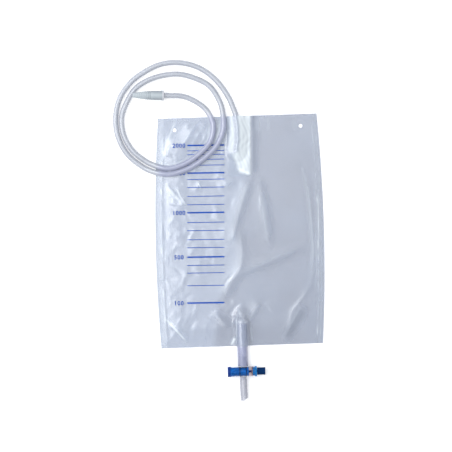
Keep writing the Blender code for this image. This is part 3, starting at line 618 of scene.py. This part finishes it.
# %% How the film lies
SLACK, SLACK_RUN, WELD = 0.0012, 0.022, 0.007
INLET_FALL, OUTLET_FALL = math.radians(32), math.radians(74)
PRESSED = 0.0022
OUTLET_RADIUS, OUTLET_WALL = 0.0073, 0.0012
OUTLET_Z = FILM_THICK + GAP + OUTLET_RADIUS
OUTLET_TURN = math.radians(1.8)
OUTLET_UP = np.array([-math.sin(OUTLET_TURN), math.cos(OUTLET_TURN)])
bottom_middle = bag_point(0.5, 0)[0] + np.array([0.0002, 0])
OUTLET_OUTER = bottom_middle - 0.0268 * OUTLET_UP
OUTLET_INNER = bottom_middle + 0.031 * OUTLET_UP


def smoothstep(value):
    value = np.clip(value, 0, 1)
    return value * value * (3 - 2 * value)


def bell(away, width, power=2):
    """1 on a line or at a spot, and less with the distance from it."""
    return np.exp(-((away / width) ** power))


def faded(share, fade):
    """0 at both ends of a path, 1 between them."""
    return smoothstep(share / fade) * smoothstep((1 - share) / fade)


def to_run(spots, start, end):
    """Distance of each spot to a straight run, and the share of the run at which it is nearest."""
    start, end = np.array(start), np.array(end)
    run = end - start
    share = np.clip((spots - start) @ run / (run @ run), 0, 1)
    return np.linalg.norm(spots - start - share[:, None] * run, axis=1), share


def tent(spots, start, end, crests, radii, fall):
    """The film's height over a straight rod: round on top, then falling away evenly to both sides."""
    away, share = to_run(spots, start, end)
    crest = crests[0] + (crests[1] - crests[0]) * share
    radius = radii[0] + (radii[1] - radii[0]) * share
    arc = crest - radius + np.sqrt(np.maximum(radius**2 - away**2, 0))
    slope = crest - radius + radius / math.cos(fall) - away * math.tan(fall)
    return np.where(away < radius * math.sin(fall), arc, slope)


def inlet_tent(spots, radius, past=0.002):
    """The tent over the inlet tube, which reaches a little past the tube's end."""
    points = flat_route(0, 5)
    back = points[0] - points[1]
    points[0] = points[0] + back / np.linalg.norm(back) * past
    crests, radii = (IN + radius, IN + radius), (radius, radius)
    runs = zip(points, points[1:])
    return np.max([tent(spots, start, end, crests, radii, INLET_FALL) for start, end in runs], axis=0)


def outlet_tent(spots):
    """The tent over the outlet tube, which sinks and widens beyond the tube's end."""
    radius = OUTLET_RADIUS + GAP
    crest = OUTLET_Z + radius
    shoulder = OUTLET_INNER + 0.002 * OUTLET_UP
    half_way, last = shoulder + 0.011 * OUTLET_UP, shoulder + 0.027 * OUTLET_UP
    return np.maximum.reduce([
        tent(spots, OUTLET_OUTER, shoulder, (crest, crest), (radius, radius), OUTLET_FALL),
        tent(spots, shoulder, half_way, (crest, 0.0085), (radius, 0.0060), 0.8 * OUTLET_FALL),
        tent(spots, half_way, last, (0.0085, 0.0004), (0.0060, 0.0120), 0.45 * OUTLET_FALL),
    ])


# %% Folds
FOLDS = [  # points, height, and how far its flanks reach to the left and right of that path: all in mm
    ([(-14, 12), (-8, 30), (3, 72), (16, 113)], 1.2, 14, 5),
    ([(42, 8), (35, 60), (25, 116)], 0.75, 10, 7),
    ([(-26, -66), (-12, -37), (1, -16), (5, 3), (-2, 50)], 1.0, 10, 6),
    ([(-14, -34), (4, -22), (30, -12), (62, 2), (98, 20)], 0.8, 12, 7),
    ([(66, -110), (72, -76), (87, -57), (98, -39), (102, -18), (100, 37), (94, 130)], 0.8, 4, 3),
    ([(58, -122), (66, -103), (77, -83), (89, -60)], 0.6, 10, 9),
    ([(11, -92), (30, -60)], 1.0, 10, 4),
    ([(-4, 36), (34, 38)], 0.4, 6, 6),
    ([(-107, 124), (-104, 146), (-97, 165), (-84, 198)], 1.0, 5, 5),
    ([(-84, 144), (-68, 172), (-48, 198)], 1.0, 9, 6),
    ([(-98, 146), (-78, 188)], 0.7, 5, 4),
    ([(-68, 150), (-44, 190)], 0.6, 5, 4),
    ([(-58, 146), (-34, 186)], 0.5, 4, 4), ([(-46, 140), (-22, 178)], 0.5, 5, 4),
    ([(-72, 68), (-88, 84), (-103, 100)], 0.8, 9, 3),
    ([(-106, 76), (-75, 70)], 0.6, 4, 3),
    ([(-68, -124), (-92, -97), (-107, -81)], 1.1, 3, 6),
    ([(-98, -128), (-108, -108), (-113, -86)], 0.8, 3, 3),
    ([(-48, -124), (-46, -88)], 0.4, 7, 5),
    ([(-28, -122), (-34, -90)], 0.4, 7, 6),
    ([(-64, -120), (-58, -92)], 0.3, 6, 5),
    ([(-16, -100), (-37, -72)], 0.6, 6, 8),
    ([(-63, 89), (-53, 104)], 0.7, 4, 3),
    ([(-70, 22), (-60, 40)], 0.6, 4, 3),
    ([(-70, 2), (-56, 18)], 0.6, 4, 3),
    ([(-32, 95), (-6, 105)], 0.7, 6, 5), ([(-30, 118), (-12, 92)], 0.5, 6, 5),
    ([(-97, -16), (-96, 5)], -0.6, 3, 3),
    ([(-91 + 11 * math.cos(t * 0.6), 39 + 11 * math.sin(t * 0.6)) for t in range(11)], 0.5, 3, 3),
]
FOLDS = [(np.array(path) / 1000, *(size / 1000 for size in sizes)) for path, *sizes in FOLDS]
FOLD_FADE, CREASE_FADE, STROKE_FADE = 0.22, 0.4, 0.3  # shares of a path over which it fades out
# painted shade along the dark sides of creases
PAINTED_SHADE_LINES = [  # points, half width in mm, and strength of dark creases
    ([(-16, -38), (4, -23), (30, -14), (62, 0), (98, 18)], 7, 0.24),
    ([(46, 6), (40, 58), (28, 114)], 5, 0.28),
    ([(-8, 30), (6, 72), (21, 118)], 6, 0.26),
    ([(62, -122), (70, -103), (82, -84), (92, -62)], 6, 0.52),
    ([(-8, -97), (-38, -72)], 6, 0.28), ([(4, -26), (-6, -40), (-20, -60)], 5, 0.20),
    ([(-97, -14), (-96, 3)], 3, 0.20),
]
# painted highlights and painted light along these lines
PAINTED_LIGHT_LINES = [  # the same for white ones
    ([(-4, -66), (-1, -76), (4, -87)], 2.0, 0.2),
    ([(-4.5, -119), (-4.5, -88), (-3, -76)], 0.8, 0.5),
    ([(17, -120), (15, -92)], 0.8, 0.3),
    ([(-13, -124), (-6, -110)], 2.2, 0.7),
    ([(108, -6), (108.8, 50), (107, 108)], 1.1, 0.5),
    ([(104, -60), (105.5, 0), (104, 100)], 1.0, 0.2),
    ([(-86, 195), (-99, 161), (-107, 130)], 2.6, 0.3),
    ([(-106, -82), (-92, -97), (-71, -120)], 1.4, 0.5),
    ([(-73, 68), (-83, 84), (-89, 98)], 1.2, 0.6),
    ([(-104, 99), (-90, 84), (-79, 74)], 3.0, 0.3),
    ([(-60, 104), (-52, 92)], 1.4, 0.4),
    ([(-5, 123), (17, 112)], 1.4, 0.4),
    ([(-4, 48), (3, 78), (12, 112)], 6, 0.10),
    ([(36, 20), (33, 60), (26, 104)], 4, 0.12),
    ([(-31, 192), (-28, 172), (-33, 150)], 3.5, 0.25),
    ([(-42, 186), (-44, 168), (-50, 152)], 5, 0.12),
    ([(81, 147), (95, 78), (101, 9), (94, -46)], 3.2, 0.25),
    ([(37, 197), (39, 186), (38, 170)], 1.8, 0.2),
    ([(24, 194), (28, 168)], 4, 0.14),
    ([(74, 195), (76, 170)], 4, 0.16),
]
PAINTED_SHADE_LINES, PAINTED_LIGHT_LINES = [
    [(np.array(path) / 1000, width / 1000, strength) for path, width, strength in lines]
    for lines in (PAINTED_SHADE_LINES, PAINTED_LIGHT_LINES)
]


def small_creases(count, seed):
    """Seeded short creases, nearly all of them beside the left weld."""
    chance = np.random.default_rng(seed)
    found = []
    while len(found) < count:
        across, along = chance.uniform(0.06, 0.94), chance.uniform(0.03, 0.97)
        if chance.uniform() > (0.95 if across < 0.21 else 0.35 if across < 0.46 else 0.02):
            continue
        spot = bag_point(across, along)[0]
        turn = chance.normal(math.pi / 2, 0.8)
        half = chance.uniform(0.005, 0.018) * np.array([math.cos(turn), math.sin(turn)])
        height = chance.uniform(0.10, 0.38) * 0.001 * chance.choice([-1, 1, 1])
        found.append((np.array([spot - half, spot + half]), height, *chance.uniform(0.0014, 0.0040, 2)))
    return found


def to_path(spots, path):
    """Distance of each spot to a bent path, the share of it at which it is nearest, and its side."""
    steps = np.linalg.norm(np.diff(path, axis=0), axis=1)
    best, share, left = np.full(len(spots), 9.0), np.zeros(len(spots)), np.zeros(len(spots), bool)
    for i, (start, end) in enumerate(zip(path, path[1:])):
        away, part = to_run(spots, start, end)
        run, nearer = end - start, away < best
        best = np.where(nearer, away, best)
        share = np.where(nearer, (steps[:i].sum() + part * steps[i]) / steps.sum(), share)
        left = np.where(nearer, (spots - start) @ np.array([-run[1], run[0]]) > 0, left)
    return best, share, left


def flanks(spots, folds, fade):
    """Each fold's height at the spots, and which spots lie to its left. Its crest is rounded."""
    for path, height, reach_left, reach_right in folds:
        away, share, left = to_path(spots, path)
        reach = np.where(left, reach_left, reach_right)
        yield height * faded(share, fade) * bell(away, reach, 1.5), left


def stroke(spots, lines):
    """Soft strokes along some lines, 0 to 1."""
    total = np.zeros(len(spots))
    for path, width, strength in lines:
        away, share, _ = to_path(spots, path)
        total += strength * faded(share, STROKE_FADE) * bell(away, width)
    return total


def fold_height(spots, folds, fade):
    return sum(lift for lift, _ in flanks(spots, folds, fade))


def broad_swells(count, seed):
    """Seeded wide swells, which bend the lamp's mirror image."""
    chance = np.random.default_rng(seed)
    found = []
    for across, along in chance.uniform((0.1, 0.08), (0.9, 0.92), (count, 2)):
        height = chance.uniform(-0.5, 0.6) * 0.001 * (1 if across < 0.5 else 0.35)
        found.append((bag_point(across, along)[0], height, chance.uniform(0.014, 0.030)))
    return found


def swell_height(spots, swells):
    return sum(h * np.exp(-(((spots - spot) ** 2).sum(axis=1)) / r**2) for spot, h, r in swells)


SWELLS = broad_swells(30, 5)
CREASES = small_creases(240, 11)
print("folds:", len(FOLDS), "creases:", len(CREASES))


# %% The front film's underside
SLEEVE_TOP = bag_point(0.5, 1)[0] + np.array([0.0035, -0.0015])
SLEEVE_WIDE, SLEEVE_LONG = 0.030, 0.081


def sleeve_lift(spots):
    """The two sleeve films lift the front film over them."""
    (x, y), (top_x, top_y) = spots.T, SLEEVE_TOP
    beside = np.maximum(np.abs(x - top_x) - SLEEVE_WIDE / 2, 0)
    beyond = np.maximum(np.maximum(top_y - SLEEVE_LONG - y, y - top_y), 0)
    return 0.0010 * (1 - smoothstep((np.hypot(beside, beyond) - 0.001) / 0.003))


def under_loops(spots):
    """How high the film may stand where the loops lie on it."""
    runs = [(a, b) for a, b in zip(ROUTE, ROUTE[1:]) if max(a[2], b[2]) >= ON]
    nearest = np.min([to_run(spots, a[:2], b[:2])[0] for a, b in runs], axis=0)
    return PRESSED - FILM_THICK + np.maximum(0, nearest - 0.006) * 0.25


def ripple(across, along):
    """Uneven waves along the welds, between -1 and 1."""
    run = across * 0.8 + along
    return np.sin(run * 61 + 2 * np.sin(run * 17)) * np.sin(run * 23 + 1)


def soft_maximum(one, other, softness):
    """The higher of two heights, with a rounded corner where they cross."""
    return np.logaddexp(one / softness, other / softness) * softness


def front_underside(across, along):
    """The height of the front film's underside, from all that lifts, folds or holds it."""
    spots = bag_point(across, along)
    base = FILM_THICK + GAP
    side, weld = weld_distance(across, along)
    inside = smoothstep(weld / SLACK_RUN)
    near_edge = smoothstep((weld + WELD) / 0.010)
    fine = fold_height(spots, CREASES, CREASE_FADE)
    wide = SLACK + fold_height(spots, FOLDS, FOLD_FADE) + swell_height(spots, SWELLS)
    pucker = 0.0003 * bell(side - 0.0015, 0.0022) * (0.6 + 0.4 * ripple(across, along))
    height = base + inside * wide + near_edge * (fine + 0.0002) + pucker
    for centre in HOLES:
        pinch = smoothstep((np.linalg.norm(spots - centre, axis=1) - 0.004) / SLACK_RUN)
        height = base + (height - base) * pinch
    height = np.maximum(base + sleeve_lift(spots), np.minimum(height, under_loops(spots)))
    height = soft_maximum(height, outlet_tent(spots), 0.0009)
    return np.maximum(height, inlet_tent(spots, TUBE_RADIUS + 0.0014))


def weld_distance(across, along):
    """Distance inwards from the weld at the two sides, and from the weld all round."""
    sides = np.minimum(across, 1 - across) * TOP_WIDTH
    ends = np.minimum(along, 1 - along) * BAG_HEIGHT
    return sides - WELD, np.minimum(sides, ends) - WELD


PALE_EDGE = np.array([  # left of this line, from bottom to top, the film mirrors the lamp
    (-30, -125), (-24, -62), (-12, -37), (1, -16), (5, 3),
    (0, 27), (-5, 42), (4, 72), (15, 113), (15, 200),
]) / 1000


def pale(across, along):
    """1 in the bluish left part of the film, a painted reflection of the lamp, 0 in the grey right part."""
    spots = bag_point(across, along)
    edge = np.interp(spots[:, 1], PALE_EDGE[:, 1], PALE_EDGE[:, 0])
    left_part = 1 - smoothstep((spots[:, 0] - edge + 0.014) / 0.016)
    outlet = to_run(spots, OUTLET_OUTER, OUTLET_INNER)[0]
    return np.maximum(left_part, bell(outlet, 0.008, 4))


def weld_lines(across, along):
    """White seam lines with painted glints along the side welds, two at the right and three at the left."""
    side = weld_distance(across, along)[0]
    lines = 0.45 * bell(side - 0.0012, 0.0009) + 0.2 * bell(side + 0.003, 0.0008)
    lines += 0.22 * (across < 0.5) * bell(side - 0.0050, 0.0010)
    to_corner = np.minimum(along, 1 - along)
    return lines * (0.55 + 0.45 * ripple(across, along)) * smoothstep((to_corner - 0.02) / 0.03)


def over_sleeve(spots):
    """1 over the white sleeve, with faint streaks, less over its tube, and painted shade left of the tube.
    """
    x, y = spots.T
    left_end = np.interp(y, [0.114, 0.1265, 0.147], [-0.003, -0.0055, -0.0155])
    white = smoothstep((x - left_end + 0.004) / 0.010) * smoothstep((0.0175 - x) / 0.006)
    white *= smoothstep((y - 0.1105 + 0.2 * (x - 0.005)) / 0.007)
    white *= 0.84 + 0.16 * smoothstep((y - 0.125) / 0.016)
    away, _, left = to_path(spots, flat_route(0, 4) + np.array([-0.001, 0]))
    # less white over the tube, and painted shade on the tent's lit flank left of it
    white *= 1 - 0.70 * bell(away, 0.0036, 4) - 0.40 * left * bell(away, 0.009, 4)
    return white * (0.85 + 0.15 * np.sin(x * 900 + 3 * np.sin(y * 140)) * np.sin(y * 210 + x * 300))


def milk(across, along):
    """Where the film is white: milky welds and sleeve, with painted highlights, reflection and light."""
    spots = bag_point(across, along)
    creased = 0
    # creases whiten: partly real stress-whitening, partly painted highlight
    for path, height, *_ in CREASES:
        away, share, _ = to_path(spots, path)
        creased = np.maximum(creased, 800 * abs(height) * faded(share, CREASE_FADE) * bell(away, 0.0011))
    # painted light on the flanks of the folds that face the lamp
    lit = sum(lift * left for lift, left in flanks(spots, FOLDS, FOLD_FADE)) / 0.001
    in_weld = weld_distance(across, along)[0] < 0
    # milky welds, the lamp's painted reflection over the pale part, and seam lines with painted glints
    total = 0.06 * in_weld + 0.12 * pale(across, along) + weld_lines(across, along)
    # painted light along the loops lifts their shadows on the film
    total += 0.22 * creased + 0.10 * lit + 0.30 * bell(to_path(spots, flat_route(6))[0], 0.0065, 4)
    return np.clip(total + stroke(spots, PAINTED_LIGHT_LINES) + over_sleeve(spots), 0, 1)


def shade(across, along):
    """Painted shade, as denser film: lower right, on dark creases and far flanks, and beside the sleeve."""
    spots = bag_point(across, along)
    x, y = spots.T
    # the grey part, which the lamp's painted reflection leaves out
    dull = 1 - pale(across, along)
    far = sum(lift * ~left for lift, left in flanks(spots, FOLDS, FOLD_FADE)) / 0.001
    beside_sleeve = smoothstep((x - 0.0150) / 0.004) * (1 - smoothstep((x - 0.0175) / 0.012))
    beside_sleeve *= smoothstep((y - 0.105) / 0.02)
    # painted shade that grows towards the bottom
    lower = 0.10 * smoothstep((0.66 - along) / 0.16) + 0.26 * smoothstep((0.45 - along) / 0.4)
    general = dull * (0.05 + lower) + 0.06 * smoothstep((0.2 - along) / 0.2)
    general = 0.8 * general + stroke(spots, PAINTED_SHADE_LINES)
    general *= 1 - 0.9 * bell(to_run(spots, OUTLET_OUTER, OUTLET_INNER)[0], 0.009, 4)
    # and painted shade on the folds' far flanks and on the slope beside the sleeve
    return np.clip(general + 0.22 * far + 0.95 * beside_sleeve, 0, 1)


# %% Build a film from a grid
def make_sheet(name, columns, rows, place, height, thickness, marks=()):
    """A grid laid out by place, lifted by height and painted with marks, with its wall built upwards."""
    deselect_all()
    bpy.ops.mesh.primitive_grid_add(x_subdivisions=columns, y_subdivisions=rows, size=1)
    piece = bpy.context.object
    piece.name = name
    unit = np.empty(len(piece.data.vertices) * 3)
    piece.data.vertices.foreach_get("co", unit)
    across, along = unit[0::3] + 0.5, unit[1::3] + 0.5
    spots = np.column_stack([place(across, along), height(across, along)])
    piece.data.vertices.foreach_set("co", spots.ravel())
    piece.data.update()
    for paint in marks:
        values = piece.data.attributes.new(paint.__name__, "FLOAT", "POINT")
        values.data.foreach_set("value", paint(across, along))
    add_wall(piece, thickness, 1)
    bpy.ops.object.shade_smooth_by_angle(angle=math.radians(60))
    return piece


def cut_holes(piece):
    """Punches the two hanging holes."""
    for centre in HOLES:
        deselect_all()
        bpy.ops.mesh.primitive_cylinder_add(vertices=40, radius=0.0025, depth=0.02, location=(*centre, 0))
        combine(piece, bpy.context.object, "DIFFERENCE")


# %% Front and back film
def flat_at(level):
    return lambda across, along: np.full(len(across), level)


front_film = make_sheet("front", 162, 232, bag_point, front_underside, FILM_THICK, (milk, pale, shade))
cut_holes(front_film)
finish_piece(front_film, "front_film_creased", film, "bag", "front_film")
back_film = make_sheet("back", 40, 60, bag_point, flat_at(0.0), FILM_THICK)
cut_holes(back_film)
finish_piece(back_film, "back_film_flat", film, "bag", "back_film")

# %% [markdown]
# ## Non-return sleeve
# Two strips of thinner, milkier film hang from the top round the tube's end. Liquid runs down between them
# and can't climb back.


# %% Sleeve
SLEEVE_THICK = 0.0002


def sleeve_point(across, along):
    return SLEEVE_TOP + np.column_stack([(across - 0.5) * SLEEVE_WIDE, (along - 1) * SLEEVE_LONG])


def over_tube(across, along):
    return np.maximum(0.0011, inlet_tent(sleeve_point(across, along), TUBE_RADIUS + 0.0006))


sleeve_front = make_sheet("sleeve front", 30, 81, sleeve_point, over_tube, SLEEVE_THICK)
finish_piece(sleeve_front, "sleeve_front_film", sleeve_film, "bag", "sleeve_front")
sleeve_back = make_sheet("sleeve back", 6, 16, sleeve_point, flat_at(0.0006), SLEEVE_THICK)
finish_piece(sleeve_back, "sleeve_back_film", sleeve_film, "bag", "sleeve_back")

# %% [markdown]
# ## Printed scale
# The lines and numbers are thin ink on the front film. Each line starts as a flat strip, each number as
# text made a mesh, and every point is then dropped onto the film from above.

# %% Drop ink onto the film
INK_THICK, INK_GAP = 0.00005, 0.00006
film_shape = BVHTree.FromObject(front_film, bpy.context.evaluated_depsgraph_get())


def drop_on_film(piece):
    """Lowers each point onto the film, a hair above it."""
    for vertex in piece.data.vertices:
        above = Vector((vertex.co.x, vertex.co.y, 0.05))
        landed = film_shape.ray_cast(above, Vector((0, 0, -1)))[0]
        vertex.co.z += landed.z + INK_GAP


SCALE_LEFT, SCALE_LENGTH = 0.0722, 0.051
SCALE_TURN = math.radians(0.9)
SCALE_SHARES = {  # how far up the bag each line is printed
    100: 0.1915, 200: 0.2669, 300: 0.3218, 400: 0.3549, 500: 0.3909, 600: 0.4319, 700: 0.4666,
    800: 0.5060, 900: 0.5416, 1000: 0.5842, 1100: 0.6189, 1200: 0.6552, 1300: 0.6940, 1400: 0.7287,
    1500: 0.7565, 1600: 0.7902, 1700: 0.8155, 1800: 0.8366, 1900: 0.8533, 2000: 0.8767,
}


def line_start(volume):
    """Where a line's left end lies, which is as far up the bag as its middle is printed."""
    x = BAG_CENTRE[0] - SCALE_LEFT
    left, right = bag_point(0, 0)[0], bag_point(1, 0)[0]
    middle = x + SCALE_LENGTH / 2
    share = (middle - left[0]) / (right[0] - left[0])
    return np.array([x, left[1] + (right[1] - left[1]) * share + SCALE_SHARES[volume] * BAG_HEIGHT])


# %% Lines
NUMBERED = (100, 500, 1000, 1500, 2000)
WIDE_LINE, FINE_LINE = 0.0020, 0.0009
for volume in SCALE_SHARES:
    width = WIDE_LINE if volume in NUMBERED else FINE_LINE
    deselect_all()
    bpy.ops.mesh.primitive_grid_add(x_subdivisions=40, y_subdivisions=2, size=1)
    line = bpy.context.object
    start = line_start(volume)
    for vertex in line.data.vertices:
        along, side = vertex.co.x + 0.5, vertex.co.y
        run = along * SCALE_LENGTH
        vertex.co.x = start[0] + run * math.cos(SCALE_TURN)
        vertex.co.y = start[1] + run * math.sin(SCALE_TURN) + side * width
    drop_on_film(line)
    add_wall(line, INK_THICK, 1)
    finish_piece(line, f"ink_line_{volume:04d}", ink, "bag", f"scale_{volume:04d}")

# %% Numbers
for volume in NUMBERED:
    start = line_start(volume)
    deselect_all()
    bpy.ops.object.text_add(location=(start[0] - 0.0116, start[1] - 0.0029, 0))
    number = bpy.context.object
    number.data.body = str(volume)
    number.data.align_x = "CENTER"
    number.data.size = 0.0080
    number.data.offset = 0.00018
    number.data.space_character = 1.15
    number.data.resolution_u = 4
    number.rotation_euler.z = SCALE_TURN
    bpy.ops.object.convert(target="MESH")
    settle(number)
    edit_all()
    bpy.ops.mesh.remove_doubles(threshold=1e-6)
    bpy.ops.mesh.quads_convert_to_tris()
    bpy.ops.object.mode_set(mode="OBJECT")
    drop_on_film(number)
    add_wall(number, INK_THICK, 1)
    finish_piece(number, f"ink_number_{volume:04d}", ink, "bag")

# %% [markdown]
# ## Outlet tube and valve
# A wide clear tube leads from the bag to the valve. The valve's clear body is a cross-piece. A blue plunger
# slides through it: at rest its piston shuts the way down, and pushed in from the right its thin waist lets
# the liquid by.

# %% Outlet tube
def pipe_outline(start, end, outer, inner):
    """Half the cross-section of a pipe: where it starts and ends, and its two radii."""
    return [(start, inner), (start, outer), (end, outer), (end, inner)]


OUTLET_LENGTH = 0.0578
outline = pipe_outline(0, OUTLET_LENGTH, OUTLET_RADIUS, OUTLET_RADIUS - OUTLET_WALL)
outlet = turn_outline("outlet", outline)
soften(outlet, 0.0002)
put(outlet, (*OUTLET_OUTER, OUTLET_Z), QUARTER + OUTLET_TURN)
finish_piece(outlet, "outlet_tube_clear", outlet_plastic, "bag", "outlet_tube")

# %% Valve body
SHOULDER = 0.0077  # from the barrel's middle to where the outlet tube ends
VALVE = Vector((*(OUTLET_OUTER - (GAP + SHOULDER) * OUTLET_UP), OUTLET_Z))


def rod(radius, start, end, turn):
    piece = turn_outline("rod", [(start, 0), (start, radius), (end, radius), (end, 0)])
    put(piece, VALVE, turn + OUTLET_TURN)
    return piece


housing = rod(0.00695, -0.016, 0.016, 0)
for radius, start, end in (  # the upper port's shoulder and spigot, then the lower port's
    (0.0066, 0, SHOULDER), (0.0058, 0.0038, 0.0207),
    (0.0045, -0.0107, 0), (0.0038, -0.0207, -0.0053),
):
    combine(housing, rod(radius, start, end, QUARTER), "UNION")
for radius, half_length, turn in ((0.00645, 0.018, 0), (0.0024, 0.0227, QUARTER)):  # the two bores
    combine(housing, rod(radius, -half_length, half_length, turn), "DIFFERENCE")
pick(housing)
bpy.ops.object.shade_smooth_by_angle(angle=math.radians(35))
finish_piece(housing, "valve_housing_clear", housing_plastic, "bag", "valve_housing")

# %% Plunger
PISTON, RING_ROOT, WAIST = 0.0062, 0.0053, 0.0016  # radii
RING_PLACES, HALF_GROOVE = (-0.0046, 0.0046), 0.00065
outline = [(-0.0207, 0), (-0.0207, 0.0049), (-0.0213, 0.0055), (-0.0213, 0.0071), (-0.0163, 0.0071)]
outline += [(-0.0163, PISTON)]
for at in RING_PLACES:
    outline += [(at - HALF_GROOVE, PISTON), (at - HALF_GROOVE, RING_ROOT)]
    outline += [(at + HALF_GROOVE, RING_ROOT), (at + HALF_GROOVE, PISTON)]
outline += [(0.0077, PISTON), (0.0077, WAIST), (0.0271, WAIST), (0.0271, 0)]
plunger = turn_outline("plunger", outline)
soften(plunger, 0.0003, 3)
put(plunger, VALVE, OUTLET_TURN)
finish_piece(plunger, "plunger_moulded", blue, "plunger", "valve_plunger")
for name, at in zip(("piston_seal_left", "piston_seal_right"), RING_PLACES):
    deselect_all()
    bpy.ops.mesh.primitive_torus_add(
        major_radius=0.0059, minor_radius=0.0005, major_segments=72, minor_segments=16,
        location=(at, 0, 0), rotation=(0, QUARTER, 0),
    )
    ring = bpy.context.object
    settle(ring)
    put(ring, VALVE, OUTLET_TURN)
    bpy.ops.object.shade_smooth()
    finish_piece(ring, name + "_round", seal, "plunger", name)

# %% Bush and seal
outline = [(0.0131, 0.00535), (0.0131, 0.0060), (0.0163, 0.0060), (0.0163, 0.00725)]
outline += [(0.0188, 0.00725), (0.0188, 0.00535)]
bush = turn_outline("bush", outline)
soften(bush, 0.0003, 3)
put(bush, VALVE, OUTLET_TURN)
finish_piece(bush, "valve_bush_moulded", bright_blue, "bag", "valve_bush")
rod_seal = turn_outline("rod seal", pipe_outline(0.0116, 0.0128, 0.006125, 0.005225))
soften(rod_seal, 0.0002)
put(rod_seal, VALVE, OUTLET_TURN)
finish_piece(rod_seal, "rod_seal_round", tan_rubber, "bag", "rod_seal")

# %% Knob
outline = [(0.0191, 0.0019), (0.0191, 0.0051), (0.0201, 0.0051), (0.0206, 0.0051), (0.0291, 0.0051)]
outline += [(0.0296, 0.0051), (0.0296, 0.0055), (0.0304, 0.0055), (0.0304, 0)]
outline += [(0.0274, 0), (0.0274, 0.0019)]
knob = turn_outline("knob", outline)
RIB_HEIGHT = 0.0003
for vertex in knob.data.vertices:  # every second pair of points sinks, which leaves ribs
    radius = math.hypot(vertex.co.y, vertex.co.z)
    step = round(math.atan2(vertex.co.z, vertex.co.y) / (2 * math.pi / SPIN_STEPS))
    if 0.0202 < vertex.co.x < 0.0293 and radius > 0.0050 and step % 4 >= 2:
        vertex.co.y *= 1 - RIB_HEIGHT / radius
        vertex.co.z *= 1 - RIB_HEIGHT / radius
soften(knob, 0.0001, 2, 40)
put(knob, VALVE, OUTLET_TURN)
finish_piece(knob, "plunger_knob_ribbed", navy, "plunger", "plunger_knob")

# %% Drain tip
TIP_LENGTH, STRAIGHT, LEANING = 0.0288, 0.347, 0.653  # in all, and the shares that are straight or lean
shares = [0] + [STRAIGHT + LEANING * i / 16 for i in range(17)]
outer = [(TIP_LENGTH * share, 0.0051) for share in shares]
inner = [(TIP_LENGTH * share, 0.0041) for share in reversed(shares)]
drain_tip = turn_outline("drain tip", outer + inner)
for vertex in drain_tip.data.vertices:
    lean = max(0.0, vertex.co.x / TIP_LENGTH - STRAIGHT) / LEANING
    vertex.co.y += 0.0008 * lean**2
pick(drain_tip)
edit_all()
slant = math.radians(38)
bpy.ops.mesh.bisect(
    plane_co=(TIP_LENGTH, -0.0002, 0),
    plane_no=(math.cos(slant), math.sin(slant), 0),
    clear_outer=True,
    use_fill=True,
)
bpy.ops.object.mode_set(mode="OBJECT")
bpy.ops.object.shade_smooth_by_angle(angle=math.radians(40))
put(drain_tip, VALVE - 0.0110 * Vector((*OUTLET_UP, 0)), OUTLET_TURN - QUARTER)
finish_piece(drain_tip, "drain_tip_clear", tip_plastic, "bag", "drain_tip")
